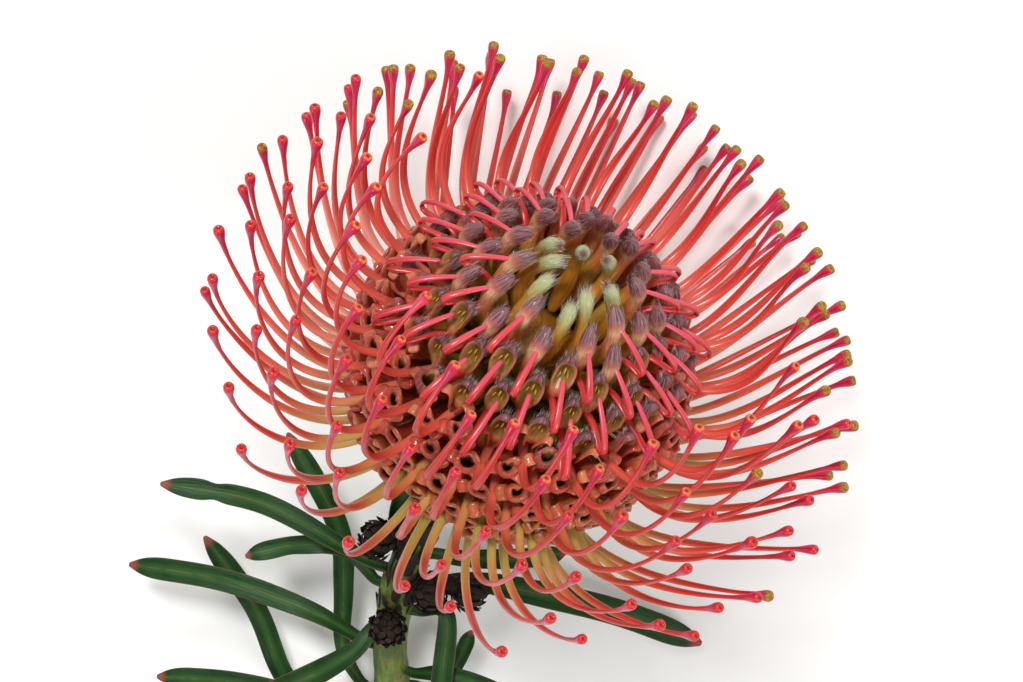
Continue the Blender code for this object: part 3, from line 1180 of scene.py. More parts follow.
@dataclass(frozen=True)
class Leaf:
    """A narrow, leathery leaf with a shallow channel, its points in millimetres from the head's middle."""

    name: str
    where: float
    width: float
    points: tuple[Triple, ...]
    wave: float = 0.0
    scar: float = 0.0
    drawn_only: bool = False
    half_thickness: float = 0.48
    channel: float = 0.62
    scar_place: float = 0.80
    scar_half_length: float = 0.022
    scar_depth: float = 0.34
    tip_share: float = 0.15
    seat_gap: float = 0.45
    seat_reach: float = 1.6
    seat_depth: float = 0.9
    wave_rate: float = 15.0
    line_steps: int = 90
    crowding: float = 1.25
    sides: int = 10
    rings: int = 30

    def outward(self, stem: Stem) -> Vector:
        """The direction in which the leaf leaves the stem's middle line."""
        aim = Vector(self.points[0]) * MM - stem.point(self.where)
        way = stem.way(self.where)
        return (aim - way * aim.dot(way)).normalized()

    def line(self, stem: Stem) -> list[Vector]:
        """The points of the leaf's middle line, from inside the stem to its tip.

        Args:
            stem: the stem that it grows from.

        Returns:
            The points.
        """
        out = self.outward(stem)
        seat = stem.point(self.where) + out * (stem.radius(self.where) + self.seat_gap * MM)
        foot = stem.point(self.where).lerp(seat, 0.35) + stem.way(self.where) * self.seat_depth * MM
        return [foot, seat, seat + out * self.seat_reach * MM] + [Vector(point) * MM for point in self.points]

    def half_width(self, share: float) -> float:
        """Half of the leaf's width at that share of its length, in millimetres."""
        swell = 0.60 + 0.40 * smooth(0.0, 0.55, share)
        away = (share - self.scar_place) / self.scar_half_length
        swell *= 1.0 - self.scar * self.scar_depth * math.exp(-(away**2))
        end = min(1.0, max(0.0, (1.0 - share) / self.tip_share))
        return 0.47 * self.width * swell * max(0.10, 1.0 - (1.0 - end) ** 2.4) ** 0.75

    def build(self, stem: Stem, materials: list[bpy.types.Material]) -> bpy.types.Object:
        """Builds the leaf's piece.

        Args:
            stem: the stem that it grows from.
            materials: the leaf's material.

        Returns:
            The piece.
        """
        growth = Growth()
        points = self.line(stem)
        last, steps = len(points) - 1, self.line_steps
        line = Line([spline(points, last * k / steps) for k in range(steps + 1)])
        stalk = Stalk(growth, self.sides, tone=(sum(map(ord, self.name)) % 17) / 17)
        for k in range(self.rings):
            share = 1.0 - (1.0 - k / (self.rings - 1)) ** self.crowding
            distance = share * line.length
            along = line.way(min(distance, 0.995 * line.length))
            face = (-stem.way(self.where)).lerp(Vector((0.0, -0.35, 0.94)), min(1.0, 2.2 * share))
            ripple = self.wave * math.sin(self.wave_rate * share) * smooth(0.1, 0.4, share)
            end = smooth(0.90, 1.0, share)
            half = self.half_width(share)
            frame = facing(line.at(distance), along, face.cross(along), 0.25 * ripple)
            _, upper, _ = axes(frame)
            frame.translation += upper * 0.35 * ripple * MM
            thick = self.half_thickness * (1.7 - 0.7 * smooth(0.0, 0.16, share)) * (1.0 - 0.55 * end)
            dip = self.channel * min(1.0, half / 2.0) * smooth(0.02, 0.2, share) * (1.0 - 0.8 * end)
            frame.translation -= upper * 0.4 * dip * MM
            stalk.ring(frame, (half * MM, thick * MM), share, at_edges, dip * MM)
        stalk.close()
        replaced = () if self.drawn_only else (f"leaf_{self.name}",)
        return finish_piece(f"blade_{self.name}", growth, STEM_FRAME, materials, replaced)


LEAVES = (
    Leaf("left_upper", 4.72, 4.6, ((10.0, 60.0, -29.0), (28.0, 56.0, -19.0), (46.0, 62.0, -16.0)), scar=1.0),
    Leaf("left_long", 6.15, 5.2, ((10.0, 80.0, -38.0), (28.0, 84.0, -38.0), (46.0, 93.0, -40.0))),
    Leaf("left_low", 8.45, 5.0,
         ((-4.0, 103.0, -44.5), (8.0, 99.0, -44.5), (20.0, 89.0, -44.5), (36.0, 81.0, -44.0))),
    Leaf("left_wavy", 4.95, 4.2, ((10.0, 61.5, -32.0), (19.0, 65.0, -29.0), (26.0, 72.0, -28.0)), wave=1.0),
    Leaf("behind_left", 7.3, 4.8,
         ((0.8, 86.0, -43.0), (6.8, 74.0, -42.0), (14.0, 61.0, -38.0), (31.0, 46.0, -30.0))),
    Leaf("lower_left", 5.55, 5.6, ((-1.0, 81.0, -33.0), (7.0, 95.0, -32.0), (14.0, 106.0, -35.0))),
    Leaf("bottom_left", 7.9, 5.0, ((-3.0, 96.0, -38.5), (15.0, 102.0, -38.0), (30.0, 111.0, -39.0))),
    Leaf("middle", 5.25, 4.8, ((-12.9, 65.0, -37.5), (-19.3, 78.0, -36.0), (-23.0, 87.0, -38.0))),
    Leaf("right_long", 4.9, 6.0,
         ((-14.0, 57.0, -39.0), (-27.0, 53.0, -42.0), (-42.0, 49.0, -44.5), (-59.0, 47.0, -47.5))),
    Leaf("right_small", 7.0, 3.6, ((-19.0, 84.0, -44.0), (-20.0, 76.0, -43.0), (-19.0, 67.0, -41.0))),
    Leaf("right_upper", 4.5, 4.4, ((-9.0, 53.0, -36.0), (-19.0, 46.0, -35.0), (-26.0, 39.0, -33.0))),
    Leaf("behind_head", 4.45, 4.2, ((4.5, 51.0, -31.0), (6.0, 44.0, -28.0), (7.0, 37.0, -26.0))),
    Leaf("behind_head_low", 4.3, 4.0,
         ((0.4, 49.0, -31.0), (1.6, 42.0, -28.5), (2.6, 35.0, -26.5)), drawn_only=True),
    Leaf("right_low", 6.6, 4.2, ((-19.0, 77.0, -38.5), (-27.0, 75.0, -39.0), (-37.0, 75.0, -41.0))),
)


@dataclass(frozen=True)
class Bud:
    """A dried bud in the axil of a leaf, its sizes in millimetres from the head's middle.

    outline holds a scale's half widths and neck the neck's, each after its share of the length.
    """

    name: str
    middle: Triple
    halves: Triple
    scales: int = 46
    scale_sides: int = 6
    scale_reach: float = 0.62
    scale_half_thickness: float = 0.13
    outline: tuple[tuple[float, float], ...] = (
        (0.0, 0.45), (0.25, 0.80), (0.5, 0.95), (0.75, 0.66), (0.92, 0.30), (1.0, 0.08),
    )
    neck: tuple[tuple[float, float], ...] = ((0.3, 1.5), (0.5, 1.7), (0.7, 2.3), (0.95, 2.6))
    core: float = 0.86

    def surface(self, outward: Matrix, angle: float, turn: float, lift: float) -> Vector:
        """A point of the bud.

        Args:
            outward: the bud's own frame, whose third axis runs from the stem through its tip.
            angle: the angle from that axis.
            turn: the angle about it.
            lift: how far above the bud's core, as a share of its radius.

        Returns:
            The point, in metres from the head's middle.
        """
        unit = outward @ polar(1.0 + lift, angle, turn)
        scaled = Vector((unit.x * self.halves[0], unit.y * self.halves[1], unit.z * self.halves[2]))
        return (Vector(self.middle) + scaled) * MM

    def scale(self, growth: Growth, outward: Matrix, number: int) -> None:
        """Grows one pointed scale that hugs the bud and lifts at its tip.

        Args:
            growth: the mesh.
            outward: the bud's own frame.
            number: the scale's number, from the tip of the bud backwards.
        """
        angle = math.acos(1.0 - 1.75 * (number + 0.5) / self.scales)
        turn = number * GOLDEN_ANGLE + 0.2 * wobble(number, 3)
        stalk = Stalk(growth, self.scale_sides, tone=0.5 + 0.5 * wobble(number, 4))
        reach = self.scale_reach * (1.0 + 0.2 * wobble(number, 5))
        curl = 0.10 + 0.10 * max(0.0, wobble(number, 6))
        round_way = outward @ Vector((-math.sin(turn), math.cos(turn), 0.0))
        for share, half in self.outline:
            place = angle + reach * (0.45 - share)
            lift = -0.10 + 0.12 * share + curl * share**3
            here = self.surface(outward, place, turn, lift)
            ahead = self.surface(outward, place - 0.02, turn, lift + 0.02)
            frame = facing(here, ahead - here, round_way)
            stalk.ring(frame, (half * MM, self.scale_half_thickness * MM), share, at_edges)
        stalk.close()

    def build(self, stem: Stem, materials: list[bpy.types.Material]) -> bpy.types.Object:
        """Builds the bud's piece.

        Args:
            stem: the stem that it sits on.
            materials: its material.

        Returns:
            The piece.
        """
        growth = Growth()
        middle = Vector(self.middle) * MM
        spots = [stem.point(stem.starts + 0.05 * k) for k in range(140)]
        nearest = min(spots, key=lambda spot: (spot - middle).length)
        axis = (middle - nearest).normalized() * 0.8 + stem.axis * 0.6
        outward = facing(Vector(), axis, Vector((1.0, 0.2, 0.1))).to_3x3()
        core = Matrix.Translation(middle) @ Matrix.Diagonal((*(Vector(self.halves) * self.core * MM), 1.0))
        made = bmesh.ops.create_icosphere(growth.bm, subdivisions=2, radius=1.0, matrix=core)
        growth.label(made["verts"], 0.0, 0.3, 0.0)
        neck = Stalk(growth, self.scale_sides, tone=0.3)
        for share, half in self.neck:
            frame = facing(nearest.lerp(middle, share), middle - nearest, stem.axis)
            neck.ring(frame, (half * MM, half * MM), 0.0)
        neck.close()
        for number in range(self.scales):
            self.scale(growth, outward, number)
        name = f"bud_{self.name}"
        return finish_piece(name, growth, STEM_FRAME, materials, (f"dried_{name}",))


@dataclass(frozen=True)
class Bracts:
    """The dry scales that wrap the stem behind the head.

    outline holds a scale's half widths in millimetres, each after its share of the length.
    """

    count: int = 74
    starts: float = 3.35
    ends: float = 5.45
    sides: int = 6
    length: float = 0.34
    half_thickness: float = 0.16
    outline: tuple[tuple[float, float], ...] = (
        (0.0, 0.7), (0.3, 1.25), (0.6, 1.15), (0.85, 0.60), (1.0, 0.12),
    )

    def build(self, stem: Stem, materials: list[bpy.types.Material]) -> bpy.types.Object:
        """Builds them as one piece.

        Args:
            stem: the stem that they wrap.
            materials: their material.

        Returns:
            The piece.
        """
        growth = Growth()
        for number in range(self.count):
            where = self.ends + (self.starts - self.ends) * number / (self.count - 1)
            turn = number * GOLDEN_ANGLE
            size = 1.0 + 0.25 * wobble(number, 70)
            stalk = Stalk(growth, self.sides, tone=0.5 + 0.5 * wobble(number, 71))
            lift = 0.8 + 0.9 * max(0.0, wobble(number, 72))
            for share, half in self.outline:
                place = where - self.length * size * share
                around = facing(stem.point(place), stem.way(place), Vector((1.0, 0.0, 0.0)), turn)
                out, across, _ = axes(around)
                spot = around.to_translation() + out * (stem.radius(place) + (0.12 + lift * share**2.2) * MM)
                way = (out * (0.25 + 0.9 * lift * share) - stem.way(place)).normalized()
                frame = facing(spot, way, across)
                stalk.ring(frame, (half * size * MM, self.half_thickness * MM), share, at_edges)
            stalk.close()
        return finish_piece("stem_bracts", growth, STEM_FRAME, materials)


BUDS = (
    Bud("left_upper", (5.6, 53.6, -26.6), (3.8, 4.0, 3.6)),
    Bud("right_inner", (-7.8, 60.2, -31.2), (3.6, 3.8, 3.4)),
    Bud("right_outer", (-14.2, 56.5, -32.6), (3.5, 3.6, 3.3)),
    Bud("left_lower", (-4.5, 71.2, -31.8), (3.6, 3.6, 3.2)),
)


class Graph:
    """Adds nodes to a node tree and joins them."""

    def __init__(self, tree: bpy.types.NodeTree) -> None:
        """Notes the tree."""
        self.tree = tree

    def node(self, kind: str, **settings: object) -> bpy.types.Node:
        """Adds a node.

        Args:
            kind: its type.
            settings: its properties.

        Returns:
            The node.
        """
        made = self.tree.nodes.new(kind)
        for key, value in settings.items():
            setattr(made, key, value)
        return made

    def feed(self, socket: bpy.types.NodeSocket, source: object) -> None:
        """Links source to the socket, or sets it there if it is a constant. Text is a display colour."""
        if isinstance(source, bpy.types.NodeSocket):
            self.tree.links.new(source, socket)
        else:
            socket.default_value = paint(source) if isinstance(source, str) else source

    def math(self, operation: str, *sources: object) -> bpy.types.NodeSocket:
        """Adds a sum.

        Args:
            operation: the kind of sum.
            sources: what it takes.

        Returns:
            The result.
        """
        made = self.node("ShaderNodeMath", operation=operation)
        for socket, source in zip(made.inputs, sources):
            self.feed(socket, source)
        return made.outputs[0]

    def step(self, value: object, low: float, high: float, top: float = 1.0) -> bpy.types.NodeSocket:
        """Adds a smooth step.

        Args:
            value: what is read.
            low: where the step starts.
            high: where it ends.
            top: how high it goes.

        Returns:
            The height of the step.
        """
        made = self.node("ShaderNodeMapRange", interpolation_type="SMOOTHSTEP")
        for socket, source in zip(made.inputs, (value, low, high, 0.0, top)):
            self.feed(socket, source)
        return made.outputs[0]

    def fall(self, value: object, low: float, high: float) -> bpy.types.NodeSocket:
        """Adds the opposite of a smooth step: 1 up to low and 0 from high on."""
        return self.math("SUBTRACT", 1.0, self.step(value, low, high))

    def mix(self, share: object, first: object, second: object) -> bpy.types.NodeSocket:
        """Adds a mix of two colours.

        Args:
            share: how much of the second.
            first: the first colour.
            second: the second colour.

        Returns:
            The mixed colour.
        """
        made = self.node("ShaderNodeMix", data_type="RGBA")
        for number, source in ((0, share), (6, first), (7, second)):
            self.feed(made.inputs[number], source)
        return made.outputs[2]

    def tint(self, colour: object, other: object, *factors: object) -> bpy.types.NodeSocket:
        """Mixes another colour into a colour.

        Args:
            colour: the colour.
            other: the other colour.
            factors: what multiplies to the other colour's share.

        Returns:
            The mixed colour.
        """
        share = factors[0]
        for factor in factors[1:]:
            share = self.math("MULTIPLY", share, factor)
        return self.mix(share, colour, other)

    def ramp(self, value: object, *stops: tuple[float, str]) -> bpy.types.NodeSocket:
        """Adds a colour ramp.

        Args:
            value: what is read.
            stops: places and display colours, in order.

        Returns:
            The colour.
        """
        made = self.node("ShaderNodeValToRGB")
        self.feed(made.inputs[0], value)
        elements = made.color_ramp.elements
        while len(elements) < len(stops):
            elements.new(1.0)
        for element, (place, code) in zip(elements, stops):
            element.position = place
            element.color = paint(code)
        return made.outputs[0]

    def noise(self, vector: object, scale: float, detail: float = 2.0) -> bpy.types.NodeSocket:
        """Adds a noise.

        Args:
            vector: where it is read.
            scale: how fine it is.
            detail: how many finer layers it has.

        Returns:
            Its value.
        """
        made = self.node("ShaderNodeTexNoise")
        for name, source in (("Vector", vector), ("Scale", scale), ("Detail", detail)):
            self.feed(made.inputs[name], source)
        return made.outputs[0]

    def read(self, name: str, output: str = "Fac") -> bpy.types.NodeSocket:
        """Adds a reader of a mark on the vertices."""
        made = self.node("ShaderNodeAttribute", attribute_type="GEOMETRY", attribute_name=name)
        return made.outputs[output]

    def parts(self, vector: bpy.types.NodeSocket) -> tuple[bpy.types.NodeSocket, ...]:
        """The three parts of a vector."""
        made = self.node("ShaderNodeSeparateXYZ")
        self.feed(made.inputs[0], vector)
        return tuple(made.outputs)

    def call(self, group: bpy.types.NodeTree, **sources: object) -> bpy.types.NodeSocket:
        """Adds a node group.

        Args:
            group: the group.
            sources: what its named inputs take.

        Returns:
            Its first output.
        """
        made = self.node("ShaderNodeGroup", node_tree=group)
        for name, source in sources.items():
            self.feed(made.inputs[name], source)
        return made.outputs[0]


class Effects:
    """The node groups that the finishes share."""

    def __init__(self) -> None:
        """Builds the groups."""
        self.mottle = self.build_mottle()
        self.streaks = self.build_streaks()
        self.relief = self.build_relief()

    @staticmethod
    def start(name: str, output: tuple[str, str], **inputs: str) -> tuple[Graph, list, bpy.types.NodeSocket]:
        """Starts a group.

        Args:
            name: its name.
            output: the name and type of its output.
            inputs: the types of its named inputs.

        Returns:
            Its graph, its inputs in order, and the socket for its result.
        """
        tree = bpy.data.node_groups.new(name, "ShaderNodeTree")
        for title, kind in inputs.items():
            tree.interface.new_socket(name=title, in_out="INPUT", socket_type=f"NodeSocket{kind}")
        tree.interface.new_socket(name=output[0], in_out="OUTPUT", socket_type=f"NodeSocket{output[1]}")
        graph = Graph(tree)
        entry = graph.node("NodeGroupInput")
        leave = graph.node("NodeGroupOutput")
        return graph, [entry.outputs[title] for title in inputs], leave.inputs[0]

    def build_mottle(self) -> bpy.types.NodeTree:
        """Soft patches between 0 and 1."""
        graph, (place, scale), result = self.start(
            "soft_mottle", ("Patches", "Float"), Vector="Vector", Scale="Float"
        )
        coarse = graph.noise(place, scale, 3.0)
        fine = graph.noise(place, graph.math("MULTIPLY", scale, 3.7))
        both = graph.math("ADD", graph.math("MULTIPLY", coarse, 0.7), graph.math("MULTIPLY", fine, 0.3))
        graph.feed(result, graph.step(both, 0.36, 0.64))
        return graph.tree

    def build_streaks(self) -> bpy.types.NodeTree:
        """Fine lines that run along a grown solid, between 0 and 1."""
        graph, (flow, tone, around, along), result = self.start(
            "streaks", ("Lines", "Float"), Flow="Vector", Tone="Float", Around="Float", Along="Float"
        )
        across, over, length = graph.parts(flow)
        place = graph.node("ShaderNodeCombineXYZ")
        offset = graph.math("MULTIPLY", tone, 37.0)
        graph.feed(place.inputs[0], graph.math("MULTIPLY_ADD", across, around, offset))
        graph.feed(place.inputs[1], graph.math("MULTIPLY", over, around))
        graph.feed(place.inputs[2], graph.math("MULTIPLY", length, along))
        graph.feed(result, graph.step(graph.noise(place.outputs[0], 1.0), 0.40, 0.62))
        return graph.tree

    def build_relief(self) -> bpy.types.NodeTree:
        """The normal of a surface with a fine relief."""
        inputs = dict.fromkeys(("Height", "Strength", "Distance"), "Float")
        graph, given, result = self.start("fine_relief", ("Normal", "Vector"), **inputs)
        bump = graph.node("ShaderNodeBump")
        for name, source in zip(inputs, given):
            graph.feed(bump.inputs[name], source)
        graph.feed(result, bump.outputs[0])
        return graph.tree


class Finish(Graph):
    """A material under construction around one principled shader."""

    def __init__(self, name: str, effects: Effects | None = None) -> None:
        """Makes the material and readers of the marks and the place.

        Args:
            name: the material's name.
            effects: the shared node groups, if it uses any.
        """
        self.material = bpy.data.materials.new(name)
        self.material.use_nodes = True
        super().__init__(self.material.node_tree)
        self.tree.nodes.clear()
        self.effects = effects
        self.shader = self.node("ShaderNodeBsdfPrincipled")
        leave = self.node("ShaderNodeOutputMaterial")
        self.feed(leave.inputs["Surface"], self.shader.outputs[0])
        self.place = self.node("ShaderNodeTexCoord").outputs["Object"]
        self.along = self.read("along")
        self.tone = self.read("tone")
        self.mark = self.read("mark")
        self.flow = self.read("flow", "Vector")
        self.across, self.over, _ = self.parts(self.flow)

    def patches(self, scale: float) -> bpy.types.NodeSocket:
        """Soft patches between 0 and 1, finer with a greater scale."""
        return self.call(self.effects.mottle, Vector=self.place, Scale=scale)

    def streaks(self, around: float, along: float) -> bpy.types.NodeSocket:
        """Lines along the surface, finer with a greater around and shorter with a greater along."""
        return self.call(self.effects.streaks, Flow=self.flow, Tone=self.tone, Around=around, Along=along)

    def relief(self, height: object, strength: float, distance: float) -> bpy.types.NodeSocket:
        """The normal of a surface with that height, whose full depth is distance in metres."""
        return self.call(self.effects.relief, Height=height, Strength=strength, Distance=distance)

    def rim(self, blend: float) -> bpy.types.NodeSocket:
        """How far the surface turns away from the eye."""
        made = self.node("ShaderNodeLayerWeight")
        made.inputs["Blend"].default_value = blend
        return made.outputs["Facing"]

    def toward(self, direction: Triple, low: float, high: float) -> bpy.types.NodeSocket:
        """A step across the head.

        Args:
            direction: the direction in which it rises.
            low: where it starts, in metres from the head's middle.
            high: where it ends.

        Returns:
            The height of the step.
        """
        dot = self.node("ShaderNodeVectorMath", operation="DOT_PRODUCT")
        self.feed(dot.inputs[0], self.place)
        dot.inputs[1].default_value = direction
        start = Vector(direction).dot(HEAD_MIDDLE)
        return self.step(dot.outputs["Value"], start + low, start + high)

    def set(self, **values: object) -> bpy.types.Material:
        """Feeds the shader.

        Args:
            values: what its sockets take, spaces in their names written as underscores.

        Returns:
            The material.
        """
        for name, value in values.items():
            self.feed(self.shader.inputs[name.replace("_", " ")], value)
        return self.material


@dataclass(frozen=True)
class StyleFinish:
    """Waxy styles: green to tan at the foot, coral to red further out, with a pink pollen presenter."""

    roughness: float = 0.30
    glow: float = 0.22

    def build(self, effects: Effects) -> bpy.types.Material:
        """Makes the material.

        Args:
            effects: the shared node groups.

        Returns:
            The material.
        """
        look = Finish("style_wax", effects)
        tone, along = look.tone, look.along
        chance = look.math("SUBTRACT", look.noise(look.place, 60.0), 0.5)
        shifted = look.math("MULTIPLY_ADD", chance, 0.12, along)
        outer = look.ramp(shifted, (0.0, "C8B46C"), (0.24, "ECC098"), (0.42, "F09C7C"), (0.60, "E66A54"),
                          (0.75, "D23A32"), (0.86, "B81A2A"))
        # The paler colours of the painted light on one side of the head.
        painted_light_pale = look.ramp(shifted, (0.0, "F0CDA8"), (0.30, "FCCAB6"), (0.46, "FBAE9C"), (0.62, "F28475"),
                         (0.76, "DE4C46"), (0.86, "C02036"))
        # The greener, darker colours of the painted shade on one side of the head.
        green = look.ramp(shifted, (0.0, "8E9A3C"), (0.28, "A9AE50"), (0.40, "C6A45C"), (0.54, "D65E40"),
                          (0.68, "C7271F"), (0.86, "BE1C28"))
        early = look.ramp(shifted, (0.0, "DCA868"), (0.15, "EC9472"), (0.30, "E46A54"), (0.55, "D23E34"),
                          (0.86, "B91A28"))
        # Painted shade: styles toward that side take the greener, darker colours.
        colour = look.mix(look.toward(PAINTED_SHADE_SIDE, -0.004, 0.016), outer, green)
        # Painted light: styles toward that side take the paler colours.
        colour = look.mix(look.toward(PAINTED_LIGHT_SIDE, 0.0, 0.024), colour, painted_light_pale)
        colour = look.mix(look.step(tone, 0.42, 0.72), early, colour)
        colour = look.tint(colour, "EE8A70", look.streaks(1.7, 0.05), 0.22)
        # Painted shade: one half of each style's section, beyond its foot, is painted deeper red.
        inner = look.step(look.over, 0.1, 1.0)
        colour = look.tint(colour, "B81414", inner, look.step(shifted, 0.25, 0.55, 0.22))
        # Painted shade: where the surface turns away from the eye, the styles are painted deeper red.
        colour = look.tint(colour, "B71F26", look.rim(0.35), 0.45)
        pink = look.mix(look.streaks(2.6, 0.25), "B41238", "CE3358")
        colour = look.mix(look.step(along, 0.84, 0.90), colour, pink)
        colour = look.tint(colour, "DA5060", look.step(tone, 0.26, 0.20), look.step(along, 0.80, 0.90))
        flecks = look.patches(1500.0)
        ring = look.mix(look.step(tone, 0.34, 0.56), "DC7A30", "CC3026")
        ring = look.tint(ring, "C4282C", flecks, 0.6)
        dome = look.mix(look.step(along, 0.978, 0.989), "C8203A", ring)
        # Painted shade in the pit at the tip of the presenter's dome.
        dome = look.tint(dome, "8A1A12", look.step(along, 0.993, 0.999))
        grains = look.mix(look.patches(2600.0), "6B5C14", "B8932C")
        grains = look.tint(grains, "A01A24", look.step(flecks, 0.55, 0.9, 0.85))
        dusty = look.math("MULTIPLY", look.mark, look.step(along, 0.965, 0.98))
        colour = look.mix(dusty, look.mix(look.step(along, 0.968, 0.978), colour, dome), grains)
        bumps = look.math("MULTIPLY", look.noise(look.place, 2600.0), dusty)
        return look.set(
            Base_Color=colour, Roughness=look.math("MULTIPLY_ADD", dusty, 0.45, self.roughness),
            Normal=look.relief(bumps, 0.6, 0.0003), Specular_IOR_Level=0.35,
            Subsurface_Weight=self.glow, Subsurface_Radius=(1.0, 0.30, 0.18), Subsurface_Scale=0.0012,
            Coat_Weight=0.20, Coat_Roughness=0.12,
        )


@dataclass(frozen=True)
class PerianthFinish:
    """Waxy tepals: olive claws, cream waists, purple limbs near the middle and salmon ones further out."""

    roughness: float = 0.36

    def build(self, effects: Effects) -> bpy.types.Material:
        """Makes the material.

        Args:
            effects: the shared node groups.

        Returns:
            The material.
        """
        look = Finish("tepal_wax", effects)
        tone, along, patches = look.tone, look.along, look.patches(420.0)
        fine, silk = look.streaks(4.0, 0.35), look.streaks(11.0, 0.16)
        shut = look.ramp(along, (0.0, "C08428"), (0.34, "CC8A2C"), (0.48, "C0963C"), (0.58, "B8AE6A"),
                         (0.70, "B3C089"), (0.84, "AAB582"), (0.93, "86706F"), (1.0, "6B4558"))
        bowed = look.ramp(along, (0.0, "9A7420"), (0.24, "AC8428"), (0.36, "CC7440"), (0.48, "DC9066"),
                          (0.57, "E2B88C"), (0.65, "BA6254"), (0.73, "5C2230"), (1.0, "3E1424"))
        bowed = look.tint(bowed, "BC9496", silk, look.step(along, 0.6, 0.72, 0.58))
        bowed = look.tint(bowed, "A8402F", look.step(tone, 0.27, 0.33), look.step(along, 0.55, 0.72, 0.5))
        young = look.ramp(along, (0.0, "6A5C16"), (0.26, "8A7A22"), (0.36, "C4603A"), (0.50, "D6764E"),
                          (0.60, "CE8A60"), (0.69, "A84E3E"), (0.78, "581C2A"), (1.0, "3C1220"))
        young = look.tint(young, "BC9496", silk, look.step(along, 0.62, 0.74, 0.56))
        old = look.ramp(along, (0.0, "6A641E"), (0.26, "8C7422"), (0.38, "BC4C2A"), (0.52, "C43E2A"),
                        (0.68, "BC3224"), (0.86, "BE4432"), (1.0, "92281F"))
        old = look.tint(old, "D8805A", patches, 0.28)
        old = look.tint(old, "9E2420", look.patches(150.0), 0.45)
        # Painted highlight: old lobes are painted paler tan on one side of their sections.
        lit = look.mix(patches, "C9824E", "B89048")
        old = look.tint(old, lit, look.step(look.over, 0.1, 0.9), look.step(along, 0.5, 0.8, 0.30))
        colour = look.mix(look.step(tone, 0.14, 0.21), shut, bowed)
        colour = look.mix(look.step(tone, 0.36, 0.39), colour, young)
        colour = look.mix(look.step(tone, 0.45, 0.56), colour, old)
        # Painted shade: older tepals toward that side of the head are tinted olive.
        olive, painted_shade_share = look.mix(patches, "A08E36", "CF7C40"), look.toward(PAINTED_SHADE_SIDE, 0.006, 0.026)
        colour = look.tint(colour, olive, painted_shade_share, look.step(tone, 0.5, 0.8, 0.45))
        # The inside of slits and holes: golden olive in young florets, their own colour, darkening with age
        # to near-black brown as painted shade in the holes.
        hollow = look.ramp(tone, (0.38, "7E6A1C"), (0.46, "644414"), (0.58, "401C0E"), (1.0, "34140A"))
        hollow = look.tint(hollow, "5A3A18", fine, 0.4)
        deep = look.mix(look.step(along, 0.55, 0.70), "937434", hollow)
        deep = look.mix(look.step(tone, 0.44, 0.52), deep, hollow)
        # Painted highlight along the lips of slits and holes: tan in young florets, red in old ones.
        rim = look.mix(look.step(tone, 0.45, 0.65), "B98A54", "C8553C")
        colour = look.mix(look.step(look.mark, 0.12, 0.34, 0.6), colour, rim)
        colour = look.mix(look.step(look.mark, 0.40, 0.80), colour, deep)
        colour = look.tint(colour, "8E3A2E", fine, 0.20)
        silky = look.math("MULTIPLY", look.step(tone, 0.56, 0.45), look.step(along, 0.6, 0.72))
        height = look.math("ADD", fine, look.math("MULTIPLY", silk, silky))
        return look.set(
            Base_Color=colour, Roughness=look.math("MULTIPLY_ADD", silky, 0.16, self.roughness),
            Normal=look.relief(height, 0.45, 0.0002), Specular_IOR_Level=0.30,
            Subsurface_Weight=0.12, Subsurface_Radius=(1.0, 0.4, 0.2), Subsurface_Scale=0.001,
            Coat_Weight=look.math("MULTIPLY_ADD", silky, -0.50, 0.75), Coat_Roughness=0.08,
        )


@dataclass(frozen=True)
class PlainFinish:
    """A small part's finish: two colours in patches."""

    name: str
    first: str
    second: str
    roughness: float
    scale: float

    def build(self, effects: Effects) -> bpy.types.Material:
        """Makes the material.

        Args:
            effects: the shared node groups.

        Returns:
            The material.
        """
        look = Finish(self.name, effects)
        return look.set(
            Base_Color=look.mix(look.patches(self.scale), self.first, self.second), Roughness=self.roughness
        )


@dataclass(frozen=True)
class HairFinish:
    """Silky hairs, lilac or white."""

    lilac: str = "9A7488"
    white: str = "E4E2CF"

    def build(self) -> bpy.types.Material:
        """Makes the material."""
        look = Finish("limb_silk")
        colour = look.mix(look.mark, self.lilac, self.white)
        return look.set(Base_Color=colour, Roughness=0.45, Sheen_Weight=0.3)


@dataclass(frozen=True)
class LeafFinish:
    """Dark leathery green with a paler channel that is a painted highlight, thin red-brown edges and a red
    tip.
    """

    roughness: float = 0.38

    def build(self, effects: Effects) -> bpy.types.Material:
        """Makes the material.

        Args:
            effects: the shared node groups.

        Returns:
            The material.
        """
        look = Finish("leaf_leather", effects)
        patches, fine = look.patches(170.0), look.streaks(5.0, 0.12)
        off_middle, upper = look.math("ABSOLUTE", look.across), look.step(look.over, -0.1, 0.4)
        broken, worn = look.step(patches, 0.2, 0.8, 0.6), look.step(patches, 0.0, 0.6, 0.75)
        green = look.mix(patches, "0A2C07", "123C0E")
        green = look.tint(green, "1E4A16", fine, 0.30)
        # Painted highlight: the middle of the channel on the upper face is painted paler green.
        green = look.tint(green, "4C7638", look.fall(off_middle, 0.05, 0.55), upper, 0.28)
        green = look.tint(green, "6B5A38", look.fall(off_middle, 0.0, 0.10), upper, broken)
        green = look.tint(green, "55794A", look.math("SUBTRACT", 1.0, upper), 0.40)
        green = look.tint(green, "7A4A35", look.step(look.mark, 0.88, 0.99), worn)
        green = look.tint(green, "8E4438", look.step(look.along, 0.950, 0.985))
        return look.set(
            Base_Color=green, Roughness=look.math("MULTIPLY_ADD", patches, 0.14, self.roughness),
            Normal=look.relief(look.math("ADD", fine, patches), 0.18, 0.0003), Specular_IOR_Level=0.24,
        )


